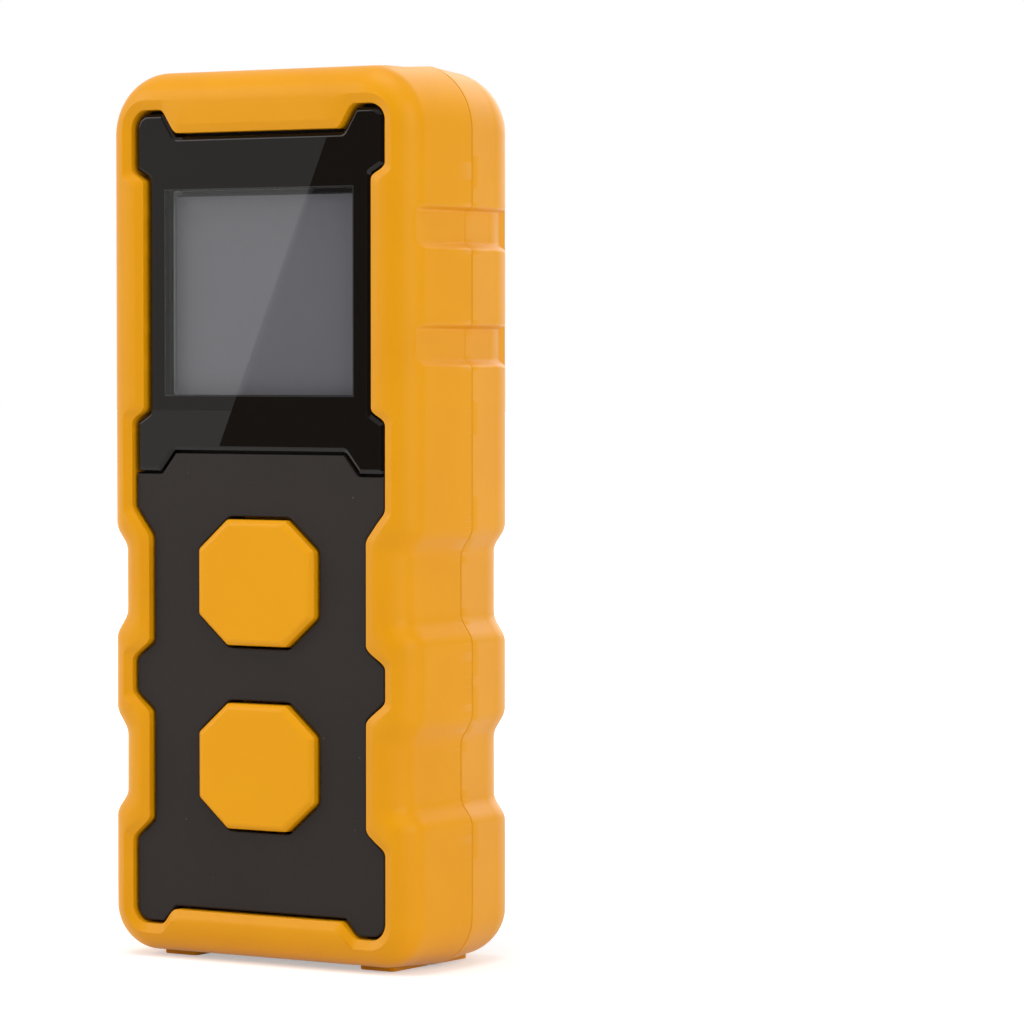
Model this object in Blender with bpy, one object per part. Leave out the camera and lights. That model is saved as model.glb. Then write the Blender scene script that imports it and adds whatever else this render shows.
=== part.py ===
"""Handheld laser distance meter, built from its separate pieces.

The instrument stands on its feet. +Z runs up its length, the screen faces -Y and X is across.
Y = 0 is the middle of the whole depth and Z = 0 is the plane it stands on. Depths are written from
the parting plane between the two case halves, which lies at Y = PARTING. Lengths are written in
millimetres and become metres where a mesh is made.
"""

import math

import bmesh
import bpy
from mathutils import Vector

MM = 0.001
PARTING = -0.75
GAP = 0.3  # clearance kept between neighbouring pieces
PAST = 1.0  # how far a cutter runs past the surface that it cuts

# Case, seen from the front
HALF_WIDTH = 20.0
CASE_LOW = 0.25
CASE_HIGH = 94.15
LOW_RADIUS = 5.4
HIGH_RADIUS = 7.0
CORNER_STEPS = 5
LEAST_RADIUS = 0.8
SHARP_ANGLE = 35
DIP_DEPTH = 1.4
SIDE_DIPS = ((15.5, 17.3, 23.8, 25.9), (34.4, 36.4, 43.4, 45.3))
GROOVES = ((62.8, 66.9), (74.9, 79.1))
GROOVE_FLOOR = 19.1
SIDE_DRAFT = 0.45
FOOT_INNER = 10.5
FOOT_OUTER = 14.8
FOOT_REACH = 7.0
FOOT_ROOT = 1.1

# Depths of the case halves, measured from the parting plane
FRONT_CREST = -11.0
FRONT_ROUNDING = 3.4
FRONT_INNER = -8.6
REAR_CREST = 11.9
REAR_ROUNDING = 7.0
REAR_INNER = 9.2
ROUNDING_STEPS = 4
RIM_CHAMFER = 0.5
CAVITY_HALF = 16.6
CAVITY_LOW = 2.6
CAVITY_HIGH = 91.5
CAVITY_RADIUS = 1.2
HOOD_LEVELS = ((10.0, 5.8, 90.1, 92.8, 1.0), (12.3, 5.0, 90.1, 92.0, 0.8), (12.7, 4.2, 90.2, 91.5, 0.6))
LIP_HALF = 4.65
LIP_INNER = 8.9
LIP_LOW = 85.9
LIP_HIGH = 90.6
MOUTH_HALF = (4.2, 1.3)
MOUTH_RADIUS = 0.8

# Charcoal panels
PANEL_WIDE = 15.9
PANEL_LOW = 3.9
PANEL_HIGH = 89.3
PANEL_RADIUS = 1.6
WAISTS = ((13.6, 12.6, 14.55, 26.3, 28.2), (13.6, 31.7, 33.4, 44.85, 47.8))
LOW_TAB = ((10.95, 5.6), (12.5, 3.9))
HIGH_TAB = ((12.3, 89.3), (10.7, 86.8))
FLANGE_HALF = 16.3
FLANGE_LOW = 3.2
FLANGE_HIGH = 89.7
FLANGE_RADIUS = 2.2
FRONT_FACE = -10.1
FRONT_FLANGE = (-8.3, -7.1)
REAR_FACE = 10.6
REAR_FLANGE = (8.9, 7.3)

# Screen
LENS_WAIST = (14.25, 56.8, 57.8, 82.4, 83.3)
LENS_FOOT = ((12.7, 51.5), (10.9, 53.7))
LENS_FACE = -10.2
LENS_BACK = -9.3
LENS_SEAT = -8.7
LENS_SEAT_GROWTH = 0.6
LENS_SHRINK = -0.1
GASKET_SHRINK = -0.4
GASKET = (-9.25, -8.75)
WINDOW_HALF = 12.0
WINDOW_LOW = 59.6
WINDOW_HIGH = 81.1
WINDOW_RADIUS = 0.3
LCD_HALF = 13.2
LCD_LOW = 57.2
LCD_HIGH = 82.5
LCD_DEPTH = (-6.6, -4.9)
BACKLIGHT_DEPTH = (-4.6, -3.1)

# Front keys
BUTTON_HALF = (7.6, 6.6)
BUTTON_CUT = (3.75, 3.15)
BUTTON_HEIGHTS = {"upper_button": 40.05, "lower_button": 20.8}
BUTTON_TOP = -11.2
BUTTON_BEVEL = 0.75
BUTTON_FLANGE = (-6.8, -5.8)
BUTTON_LIP = 1.0
STEM_RADIUS = 1.5
STEM_END = -4.9

# Board and what it carries
BOARD_HALF = 15.0
BOARD_LOW = 5.0
BOARD_HIGH = 84.5
BOARD_FRONT = -2.7
BOARD_BACK = -1.5
BOARD_CLEARANCE = 0.4
SWITCH_HALF = 2.6
PLUNGER_RADIUS = 1.2
PLUNGER_TOP = 0.35
SWITCH_BODY = 0.85
SWITCH_CORNER = 0.4
CONNECTOR_HALF = (2.6, 1.8)
CONNECTOR_CENTRE = (-9.5, 71.0)
CONNECTOR_HEIGHT = 2.6
BUZZER_CENTRE = (8.2, 73.0)
BUZZER_SHAPE = ((0.0, 4.3), (2.2, 4.3), (2.5, 4.0))

# Rear cover, its screws and its key
COVER_HALF = 11.95
COVER_LOW = 8.25
COVER_HIGH = 83.55
COVER_RADIUS = 1.2
COVER_INNER = 9.0
COVER_SEAT = 8.7
FINGER_GROOVES = ((16.6, 18.3), (22.6, 24.2), (28.5, 30.0), (34.5, 36.0), (40.3, 41.9))
FINGER_HALF = 8.4
FINGER_DEPTH = 0.5
FINGER_RADIUS = 0.4
COVER_SCREWS = ((-10.1, 81.5), (10.1, 81.5), (-10.1, 10.1), (10.1, 10.1))
CASE_SCREWS = ((-10.9, 52.5), (10.9, 52.5), (-10.9, 30.4), (10.9, 30.4))
HEAD_RADIUS = 0.95
CASE_HEAD_RADIUS = 1.3
HEAD_HEIGHT = 0.5
SHANK_RADIUS = 0.7
BOSS_RADIUS = 1.9
COUNTERBORE_RADIUS = 1.4
COVER_HEAD_BASE = 9.8
CASE_HEAD_BASE = 8.1
COVER_SCREW_TIP = 4.2
CASE_SCREW_TIP = -5.0
DRIVE_RADIUS = 0.45
DRIVE_DEPTH = 0.3
HEAD_EDGE = 0.15
POINT_LENGTH = 0.5
BOSS_OVERLAP = 0.4
PILOT_END = -5.6
COVER_PILOT_END = 2.2
COVER_BOSS_END = 3.2
KEY_HALF = (3.7, 1.95)
KEY_HEIGHT = 80.2
KEY_TOP = 10.9
KEY_FLANGE = (7.0, 6.2)
KEY_LIP = 0.9
KEY_HOLE_GAP = 0.4
KEY_STEM_END = 0.75
KEY_CORNER = (0.6, 0.6)
KEY_BEVEL = 0.35

# Battery
BATTERY_HALF = 8.5
BATTERY_LOW = 13.0
BATTERY_HIGH = 66.0
BATTERY_DEPTH = (1.0, 8.2)
BATTERY_RADIUS = 1.2
BATTERY_EDGE = 0.5
BAY_GAP = 0.5
BAY_RADIUS = 0.8

# Socket end
PORT_HALF = 14.8
PORT_FRONT = -6.65
PORT_REAR = 7.2
PORT_RADIUS = 2.4
PORT_TOP = 93.3
PORT_FLANGE = (90.0, 91.2)
PORT_FLANGE_HALF = 15.8
PORT_FLANGE_REACH = 0.2
SOCKET_WALL = 0.25
SOCKET_TOP = 92.95
SOCKET_BOTTOM = 86.0
SOCKET_RECESS = 0.7
RECESS_DEPTH = 0.4
DATA_CENTRE = (-9.1, 0.14)
DATA_HALF = (1.98, 3.85)
DATA_CUTS = (0.5, 0.5, 0.9, 0.9)
VIDEO_CENTRE = (6.17, -0.95)
VIDEO_HALF = (5.6, 1.92)
VIDEO_CUTS = (1.6, 0.4, 0.4, 1.6)
LASER_CENTRE = (-3.5, 0.55)
LASER_BORE_RADIUS = 1.15
LASER_BARREL = ((83.2, 1.1), (83.6, 1.6), (88.6, 1.6), (89.2, 1.2))
LASER_DOME = ((PORT_FLANGE[0], 1.0), (PORT_TOP, 1.0), (PORT_TOP + 0.15, 0.85), (PORT_TOP + 0.25, 0.5))
CHARGE_HEIGHT = 87.7
CHARGE_HALF = (4.45, 1.55)
CHARGE_DEPTH = (8.6, 3.0)
CHARGE_RADIUS = 1.2
CHARGE_BLADE = ((3.3, 0.33), (3.5, 0.75))
DATA_BLADE = ((0.38, 2.75), (0.8, 3.0))
VIDEO_BLADE = ((4.1, 0.28), (4.3, 0.7))
CAN_FLOOR = 0.4
BLADE_ROOT = 1.5
BLADE_SET_BACK = 1.0


# ---- outlines ---------------------------------------------------------------------------------


def arc(centre, radius, start, end, steps):
    """Points on a circle's arc from one angle to another, in degrees."""
    turns = [math.radians(start + (end - start) * i / steps) for i in range(steps + 1)]
    return [(centre[0] + radius * math.cos(t), centre[1] + radius * math.sin(t)) for t in turns]


def mirrored(right):
    """A whole outline from its right-hand half, listed from the lowest point to the highest."""
    return right + [(-x, z) for x, z in reversed(right)]


def rounded_box(half, low, high, radius, steps=4):
    """A rectangle centred on X = 0 with round corners."""
    right = arc((half - radius, low + radius), radius, -90, 0, steps)
    right += arc((half - radius, high - radius), radius, 0, 90, steps)
    return mirrored(right)


def cut_box(half, cuts):
    """A rectangle about its centre with its corners cut, from the lower right one round to the left."""
    x, z = half
    lower_right, upper_right, upper_left, lower_left = cuts
    points = [(x - lower_right, -z), (x, -z + lower_right), (x, z - upper_right)]
    points += [(x - upper_right, z), (-x + upper_left, z), (-x, z - upper_left)]
    return points + [(-x, -z + lower_left), (-x + lower_left, -z)]


def octagon(half, cut):
    """An eight-sided outline about its centre."""
    (x, z), (dx, dz) = half, cut
    right = [(x - dx, -z), (x, -z + dz), (x, z - dz), (x - dx, z)]
    return mirrored(right)


def circle(centre, radius, steps=20):
    """A round outline."""
    return arc(centre, radius, 0, 360 * (steps - 1) / steps, steps - 1)


def circle_of_eight(radius):
    """A coarse round outline with as many points as an octagon, starting where an octagon starts."""
    return arc((0.0, 0.0), radius, -90, 225, 7)


def moved(outline, centre):
    """An outline shifted to a centre."""
    return [(x + centre[0], z + centre[1]) for x, z in outline]


def grown(outline, distance):
    """An outline, listed anticlockwise, with every edge moved outwards by a distance."""
    points = [Vector(p) for p in outline]
    result = []
    for i, point in enumerate(points):
        before = (point - points[i - 1]).normalized()
        after = (points[(i + 1) % len(points)] - point).normalized()
        normals = Vector((before.y, -before.x)), Vector((after.y, -after.x))
        mitre = (normals[0] + normals[1]) / (1 + normals[0].dot(normals[1]))
        result.append(tuple(point + mitre * distance))
    return result


def case_outline(inset):
    """The case seen from the front, moved in by an inset, with the finger dips in its sides."""
    half = HALF_WIDTH - inset
    low, high = CASE_LOW + inset, CASE_HIGH - inset
    low_radius = max(LOW_RADIUS - inset, LEAST_RADIUS)
    high_radius = max(HIGH_RADIUS - inset, LEAST_RADIUS)
    right = arc((half - low_radius, low + low_radius), low_radius, -90, 0, CORNER_STEPS)
    for start, floor_start, floor_end, end in SIDE_DIPS:
        shift = inset * math.tan(math.atan2(DIP_DEPTH, floor_start - start) / 2)
        right += [(half, start - shift), (half - DIP_DEPTH, floor_start - shift)]
        right += [(half - DIP_DEPTH, floor_end + shift), (half, end + shift)]
    right += arc((half - high_radius, high - high_radius), high_radius, 0, 90, CORNER_STEPS)
    return mirrored(right)


def front_outline():
    """The front panel: the two low waists, the screen's waist, and a tab let in at foot and head."""
    return panel_outline((*WAISTS, LENS_WAIST), HIGH_TAB)


def rear_outline():
    """The rear panel: the two low waists, and a tab let in at the foot."""
    return panel_outline(WAISTS, ())


def panel_outline(waists, high_tab):
    """A charcoal panel with its waists and tabs."""
    right = list(LOW_TAB)
    right += arc((PANEL_WIDE - PANEL_RADIUS, PANEL_LOW + PANEL_RADIUS), PANEL_RADIUS, -90, 0, 3)
    for waist, start, floor_start, floor_end, end in waists:
        right += [(PANEL_WIDE, start), (waist, floor_start), (waist, floor_end), (PANEL_WIDE, end)]
    right += arc((PANEL_WIDE - PANEL_RADIUS, PANEL_HIGH - PANEL_RADIUS), PANEL_RADIUS, 0, 90, 3)
    return mirrored(right + list(high_tab))


def lens_outline():
    """The cover glass: ears at its four corners and a waist between them."""
    foot_outer, foot_inner = LENS_FOOT
    waist, low_start, low_end, high_start, high_end = LENS_WAIST
    right = [foot_inner, foot_outer, (PANEL_WIDE, foot_outer[1]), (PANEL_WIDE, low_start)]
    right += [(waist, low_end), (waist, high_start), (PANEL_WIDE, high_end)]
    right += arc((PANEL_WIDE - PANEL_RADIUS, PANEL_HIGH - PANEL_RADIUS), PANEL_RADIUS, 0, 90, 3)
    return mirrored(right + list(HIGH_TAB))


def window_outline():
    """The clear window over the display."""
    return rounded_box(WINDOW_HALF, WINDOW_LOW, WINDOW_HIGH, WINDOW_RADIUS, 2)


# ---- meshes -----------------------------------------------------------------------------------


def clear_scene():
    """Remove every object of the open scene."""
    for item in list(bpy.data.objects):
        bpy.data.objects.remove(item, do_unlink=True)


def material(name, colour, roughness, metallic=0.0):
    """A plain Principled material."""
    made = bpy.data.materials.new(name)
    made.use_nodes = True
    shader = made.node_tree.nodes["Principled BSDF"]
    shader.inputs["Base Color"].default_value = (*colour, 1.0)
    shader.inputs["Roughness"].default_value = roughness
    shader.inputs["Metallic"].default_value = metallic
    return made


def stacked(name, rings, look=None, origin=None):
    """A closed object through a stack of rings that have the same number of points."""
    count = len(rings[0])
    shift = Vector((0.0, PARTING, 0.0))
    pivot = Vector(origin) + shift if origin else Vector()
    work = bmesh.new()
    for ring in rings:
        for point in ring:
            work.verts.new((Vector(point) + shift - pivot) * MM)
    work.verts.ensure_lookup_table()
    work.faces.new([work.verts[i] for i in range(count)])
    work.faces.new([work.verts[(len(rings) - 1) * count + i] for i in reversed(range(count))])
    for level in range(len(rings) - 1):
        base = level * count
        for i in range(count):
            j = (i + 1) % count
            corners = (base + j, base + i, base + count + i, base + count + j)
            work.faces.new([work.verts[k] for k in corners])
    bmesh.ops.recalc_face_normals(work, faces=work.faces)
    mesh = bpy.data.meshes.new(name)
    work.to_mesh(mesh)
    work.free()
    mesh.shade_smooth()
    mesh.set_sharp_from_angle(angle=math.radians(SHARP_ANGLE))
    made = bpy.data.objects.new(name, mesh)
    made.location = pivot * MM
    bpy.context.scene.collection.objects.link(made)
    if look is not None:
        mesh.materials.append(look)
    return made


def along_y(name, levels, look=None, origin=None):
    """A solid whose XZ outline changes with Y: levels is a list of (y, outline)."""
    rings = [[(x, y, z) for x, z in outline] for y, outline in levels]
    return stacked(name, rings, look, origin)


def along_z(name, levels, look=None, origin=None):
    """A solid whose XY outline changes with Z: levels is a list of (z, outline)."""
    rings = [[(x, y, z) for x, y in outline] for z, outline in levels]
    return stacked(name, rings, look, origin)


def box(name, low, high, look=None):
    """A plain block between two corners, used inside the case and as a cutter."""
    outline = [(low[0], low[2]), (high[0], low[2]), (high[0], high[2]), (low[0], high[2])]
    return along_y(name, [(low[1], outline), (high[1], outline)], look)


def combine(target, tool, operation):
    """Cut a target with a tool, or join the tool to it, and leave the tool as a hidden guide."""
    change = target.modifiers.new(tool.name, "BOOLEAN")
    change.operation = operation
    change.object = tool
    tool.hide_render = True
    tool.display_type = "WIRE"


def cut(target, *tools):
    """Take tools away from a target."""
    for tool in tools:
        combine(target, tool, "DIFFERENCE")


def join(target, *tools):
    """Add tools to a target."""
    for tool in tools:
        combine(target, tool, "UNION")


# ---- case -------------------------------------------------------------------------------------


def case_block(name, crest, rounding, look):
    """Half of the case as a solid block, drafted from the parting plane and rounded to its crest."""
    side = math.copysign(1.0, crest)
    levels = [(0.0, case_outline(0.0))]
    for i in range(ROUNDING_STEPS + 1):
        turn = math.radians(90 * i / ROUNDING_STEPS)
        inset = SIDE_DRAFT + rounding * (1 - math.cos(turn))
        depth = crest - side * rounding * (1 - math.sin(turn))
        levels.append((depth, case_outline(inset)))
    return along_y(name, levels, look)


def add_feet(shell, side):
    """Two low pads under one case half."""
    for hand in (-1, 1):
        low_x, high_x = sorted((hand * FOOT_INNER, hand * FOOT_OUTER))
        low_y, high_y = sorted((0.0, side * FOOT_REACH))
        pad = box(f"{shell.name}_foot{hand}", (low_x, low_y, 0.0), (high_x, high_y, FOOT_ROOT))
        join(shell, pad)


def cut_sides(shell):
    """Cut the two shallow grooves into each side."""
    for hand in (-1, 1):
        for low, high in GROOVES:
            low_x, high_x = sorted((hand * GROOVE_FLOOR, hand * (HALF_WIDTH + PAST)))
            corners = (low_x, FRONT_CREST - PAST, low), (high_x, REAR_CREST + PAST, high)
            cut(shell, box(f"{shell.name}_groove{hand}_{low}", *corners))


def hollow(shell, side, inner, crest, panel):
    """Cut the cavity, the panel opening with its chamfered rim, and the socket end's opening."""
    cavity = rounded_box(CAVITY_HALF, CAVITY_LOW, CAVITY_HIGH, CAVITY_RADIUS)
    cut(shell, along_y(f"{shell.name}_cavity", [(-side * PAST, cavity), (inner, cavity)]))
    opening = grown(panel, GAP)
    edge = crest - side * RIM_CHAMFER
    flare = (crest + side * PAST, grown(panel, GAP + RIM_CHAMFER + PAST))
    levels = [(inner - side * PAST, opening), (edge, opening), flare]
    cut(shell, along_y(f"{shell.name}_opening", levels))
    port = port_outline(0.0)
    cut(shell, along_z(f"{shell.name}_port", [(CAVITY_HIGH - PAST, port), (CASE_HIGH + PAST, port)]))


def make_front_shell(look):
    """Front case half."""
    shell = case_block("front_shell", FRONT_CREST, FRONT_ROUNDING, look)
    add_feet(shell, -1)
    cut_sides(shell)
    hollow(shell, -1, FRONT_INNER, FRONT_CREST, front_outline())


def make_rear_shell(look):
    """Rear case half, with the hood and the lip of the charging socket."""
    shell = case_block("rear_shell", REAR_CREST, REAR_ROUNDING, look)
    hood = [(y, rounded_box(half, low, high, radius)) for y, half, low, high, radius in HOOD_LEVELS]
    join(shell, along_y("hood", hood))
    add_feet(shell, 1)
    cut_sides(shell)
    hollow(shell, 1, REAR_INNER, REAR_CREST, rear_outline())
    join(shell, box("lip", (-LIP_HALF, LIP_INNER, LIP_LOW), (LIP_HALF, REAR_FACE, LIP_HIGH)))
    half, reach = MOUTH_HALF
    mouth = rounded_box(half, CHARGE_HEIGHT - reach, CHARGE_HEIGHT + reach, MOUTH_RADIUS)
    cut(shell, along_y("mouth", [(y, mouth) for y in (LIP_INNER - PAST, REAR_FACE + PAST)]))


# ---- panels and screen ------------------------------------------------------------------------


def screw_boss(panel, label, centre, start, end):
    """A round pillar on a panel that takes a screw."""
    outline = circle(centre, BOSS_RADIUS)
    join(panel, along_y(f"{panel.name}_{label}", [(start, outline), (end, outline)]))


def round_hole(target, label, centre, radius, start, end):
    """A round hole along Y."""
    outline = circle(centre, radius)
    cut(target, along_y(f"{target.name}_{label}", [(start, outline), (end, outline)]))


def make_front_panel(look):
    """Front moulding with the glass seat, the window, the key holes and the case screw pillars."""
    outline = front_outline()
    panel = along_y("front_panel", [(FRONT_FACE, outline), (FRONT_FLANGE[1], outline)], look)
    flange = rounded_box(FLANGE_HALF, FLANGE_LOW, FLANGE_HIGH, FLANGE_RADIUS)
    join(panel, along_y("front_flange", [(y, flange) for y in FRONT_FLANGE]))
    seat = grown(lens_outline(), LENS_SEAT_GROWTH)
    cut(panel, along_y("lens_seat", [(FRONT_FACE - PAST, seat), (LENS_SEAT, seat)]))
    window = window_outline()
    cut(panel, along_y("window_hole", [(LENS_SEAT - PAST, window), (FRONT_FLANGE[1] + PAST, window)]))
    for name, height in BUTTON_HEIGHTS.items():
        hole = moved(grown(octagon(BUTTON_HALF, BUTTON_CUT), GAP), (0.0, height))
        cut(panel, along_y(f"{name}_hole", [(FRONT_FACE - PAST, hole), (FRONT_FLANGE[1] + PAST, hole)]))
    for i, centre in enumerate(CASE_SCREWS):
        screw_boss(panel, f"pillar{i}", centre, FRONT_FLANGE[1] - BOSS_OVERLAP, -GAP)
        round_hole(panel, f"pilot{i}", centre, SHANK_RADIUS + GAP, PILOT_END, PAST)


def make_screen(glass, rubber, display, white):
    """Cover glass, the gasket that holds it, the display and its light guide."""
    cover = grown(lens_outline(), LENS_SHRINK)
    along_y("screen_lens", [(y, cover) for y in (LENS_FACE, LENS_BACK)], glass)
    rim = grown(lens_outline(), GASKET_SHRINK)
    gasket = along_y("lens_gasket", [(y, rim) for y in GASKET], rubber)
    window = window_outline()
    cut(gasket, along_y("gasket_window", [(GASKET[0] - PAST, window), (GASKET[1] + PAST, window)]))
    low, high = (-LCD_HALF, LCD_LOW), (LCD_HALF, LCD_HIGH)
    for name, depth, look in (
        ("lcd_panel", LCD_DEPTH, display),
        ("lcd_backlight", BACKLIGHT_DEPTH, white),
    ):
        box(name, (low[0], depth[0], low[1]), (high[0], depth[1], high[1]), look)


def make_rear_panel(look):
    """Rear moulding with the cover seat, the battery opening and the screw bosses."""
    outline = rear_outline()
    panel = along_y("rear_panel", [(REAR_FLANGE[1], outline), (REAR_FACE, outline)], look)
    flange = rounded_box(FLANGE_HALF, FLANGE_LOW, FLANGE_HIGH, FLANGE_RADIUS)
    join(panel, along_y("rear_flange", [(y, flange) for y in REAR_FLANGE]))
    for i, centre in enumerate(COVER_SCREWS):
        screw_boss(panel, f"cover_boss{i}", centre, REAR_FLANGE[1] + BOSS_OVERLAP, COVER_BOSS_END)
    for i, centre in enumerate(CASE_SCREWS):
        screw_boss(panel, f"case_boss{i}", centre, REAR_FLANGE[1] + BOSS_OVERLAP, GAP)
    seat = rounded_box(COVER_HALF + GAP, COVER_LOW - GAP, COVER_HIGH + GAP, COVER_RADIUS + GAP)
    cut(panel, along_y("cover_seat", [(COVER_SEAT, seat), (REAR_FACE + PAST, seat)]))
    low, high = BATTERY_LOW - BAY_GAP, BATTERY_HIGH + BAY_GAP
    bay = rounded_box(BATTERY_HALF + BAY_GAP, low, high, BAY_RADIUS, 2)
    cut(panel, along_y("battery_bay", [(REAR_FLANGE[1] - PAST, bay), (COVER_SEAT + PAST, bay)]))
    key_hole = moved(grown(octagon(KEY_HALF, KEY_CORNER), KEY_HOLE_GAP), (0.0, KEY_HEIGHT))
    depths = REAR_FLANGE[1] - PAST, COVER_SEAT + PAST
    cut(panel, along_y("panel_key_hole", [(y, key_hole) for y in depths]))
    notch_low = (-LIP_HALF - GAP, REAR_FLANGE[1] - PAST, LIP_LOW - GAP)
    notch_high = (LIP_HALF + GAP, REAR_FACE + PAST, CASE_HIGH)
    cut(panel, box("socket_notch", notch_low, notch_high))
    for i, centre in enumerate(COVER_SCREWS):
        depths = COVER_PILOT_END, COVER_SEAT + PAST
        round_hole(panel, f"cover_hole{i}", centre, SHANK_RADIUS + GAP, *depths)
    for i, centre in enumerate(CASE_SCREWS):
        round_hole(panel, f"case_hole{i}", centre, SHANK_RADIUS + GAP, -PAST, COVER_SEAT + PAST)
        head_seat = CASE_HEAD_BASE - GAP
        round_hole(panel, f"head_seat{i}", centre, CASE_HEAD_RADIUS + GAP, head_seat, COVER_SEAT + PAST)


def make_battery_cover(look):
    """Screwed plate over the battery, with finger grooves and the key's hole."""
    outline = rounded_box(COVER_HALF, COVER_LOW, COVER_HIGH, COVER_RADIUS)
    cover = along_y("battery_cover", [(COVER_INNER, outline), (REAR_FACE, outline)], look)
    for low, high in FINGER_GROOVES:
        slot = rounded_box(FINGER_HALF, low, high, FINGER_RADIUS, 2)
        depths = REAR_FACE - FINGER_DEPTH, REAR_FACE + PAST
        cut(cover, along_y(f"finger_groove_{low}", [(y, slot) for y in depths]))
    key_hole = moved(grown(octagon(KEY_HALF, KEY_CORNER), KEY_HOLE_GAP), (0.0, KEY_HEIGHT))
    depths = COVER_INNER - PAST, REAR_FACE + PAST
    cut(cover, along_y("cover_key_hole", [(y, key_hole) for y in depths]))
    for i, centre in enumerate(COVER_SCREWS):
        seat = COVER_HEAD_BASE - GAP
        round_hole(cover, f"through{i}", centre, SHANK_RADIUS + GAP, COVER_INNER - PAST, REAR_FACE)
        round_hole(cover, f"counterbore{i}", centre, COUNTERBORE_RADIUS, seat, REAR_FACE + PAST)


def make_screw(name, centre, head_radius, head_base, tip, look):
    """A small socket-head screw along Y, its head towards the back."""
    top = head_base + HEAD_HEIGHT
    radii = [(tip, SHANK_RADIUS / 2), (tip + POINT_LENGTH, SHANK_RADIUS), (head_base, SHANK_RADIUS)]
    radii += [(head_base, head_radius), (top - HEAD_EDGE, head_radius), (top, head_radius - HEAD_EDGE)]
    origin = (centre[0], top, centre[1])
    screw = along_y(name, [(y, circle(centre, radius, 16)) for y, radius in radii], look, origin)
    drive = circle(centre, DRIVE_RADIUS, 6)
    cut(screw, along_y(f"{name}_drive", [(top - DRIVE_DEPTH, drive), (top + PAST, drive)]))


# ---- keys and switches ------------------------------------------------------------------------


def make_button(name, height, look):
    """Eight-sided front key with a retaining lip and a stem; its origin is on its travel axis."""
    face = octagon(BUTTON_HALF, BUTTON_CUT)
    stem = circle_of_eight(STEM_RADIUS)
    shapes = [(BUTTON_TOP, grown(face, -BUTTON_BEVEL)), (BUTTON_TOP + BUTTON_BEVEL, face)]
    shapes += [(BUTTON_FLANGE[0], face), (BUTTON_FLANGE[0], grown(face, BUTTON_LIP))]
    shapes += [(BUTTON_FLANGE[1], grown(face, BUTTON_LIP)), (BUTTON_FLANGE[1], stem), (STEM_END, stem)]
    levels = [(y, moved(outline, (0.0, height))) for y, outline in shapes]
    along_y(name, levels, look, (0.0, BUTTON_TOP, height))


def make_rear_key(look):
    """Rectangular key on the back with a retaining lip and a long stem."""
    face = octagon(KEY_HALF, KEY_CORNER)
    stem = circle_of_eight(STEM_RADIUS)
    shapes = [(KEY_TOP, grown(face, -KEY_BEVEL)), (KEY_TOP - KEY_BEVEL, face), (KEY_FLANGE[0], face)]
    shapes += [(KEY_FLANGE[0], grown(face, KEY_LIP)), (KEY_FLANGE[1], grown(face, KEY_LIP))]
    shapes += [(KEY_FLANGE[1], stem), (KEY_STEM_END, stem)]
    levels = [(y, moved(outline, (0.0, KEY_HEIGHT))) for y, outline in shapes]
    along_y("rear_key", levels, look, (0.0, KEY_TOP, KEY_HEIGHT))


def make_switch(name, height, base, side, look):
    """A tactile switch on the board: a square body with a round plunger."""
    body = octagon((SWITCH_HALF, SWITCH_HALF), (SWITCH_CORNER, SWITCH_CORNER))
    plunger = circle_of_eight(PLUNGER_RADIUS)
    top = base + side * SWITCH_BODY
    shapes = [(base, body), (top, body), (top, plunger), (top + side * PLUNGER_TOP, plunger)]
    along_y(name, [(y, moved(outline, (0.0, height))) for y, outline in shapes], look)


# ---- board and battery ------------------------------------------------------------------------


def make_board(look):
    """Printed board, pierced for the case screw pillars."""
    outline = rounded_box(BOARD_HALF, BOARD_LOW, BOARD_HIGH, 1.5, 2)
    board = along_y("main_board", [(BOARD_FRONT, outline), (BOARD_BACK, outline)], look)
    for i, centre in enumerate(CASE_SCREWS):
        depths = BOARD_FRONT - PAST, BOARD_BACK + PAST
        round_hole(board, f"clearance{i}", centre, BOSS_RADIUS + BOARD_CLEARANCE, *depths)


def make_inside(foil, dark, brass):
    """Battery, its connector, the sounder and the laser barrel."""
    pack = rounded_box(BATTERY_HALF, BATTERY_LOW, BATTERY_HIGH, BATTERY_RADIUS, 3)
    low, high = BATTERY_DEPTH
    end = grown(pack, -BATTERY_EDGE)
    shapes = [(low, end), (low + BATTERY_EDGE, pack), (high - BATTERY_EDGE, pack), (high, end)]
    along_y("battery_pack", shapes, foil)
    connector = moved(octagon(CONNECTOR_HALF, (SWITCH_CORNER, SWITCH_CORNER)), CONNECTOR_CENTRE)
    base = BOARD_BACK + GAP
    along_y("battery_connector", [(y, connector) for y in (base, base + CONNECTOR_HEIGHT)], dark)
    sounder = [(base + rise, circle(BUZZER_CENTRE, radius, 24)) for rise, radius in BUZZER_SHAPE]
    along_y("buzzer", sounder, dark)
    along_z("laser_module", [(z, circle(LASER_CENTRE, radius)) for z, radius in LASER_BARREL], brass)


# ---- socket end -------------------------------------------------------------------------------


def port_outline(shrink):
    """The socket panel's outline in XY, moved in by a distance."""
    half = PORT_HALF - shrink
    return rounded_box(half, PORT_FRONT + shrink, PORT_REAR - shrink, PORT_RADIUS - shrink)


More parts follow.
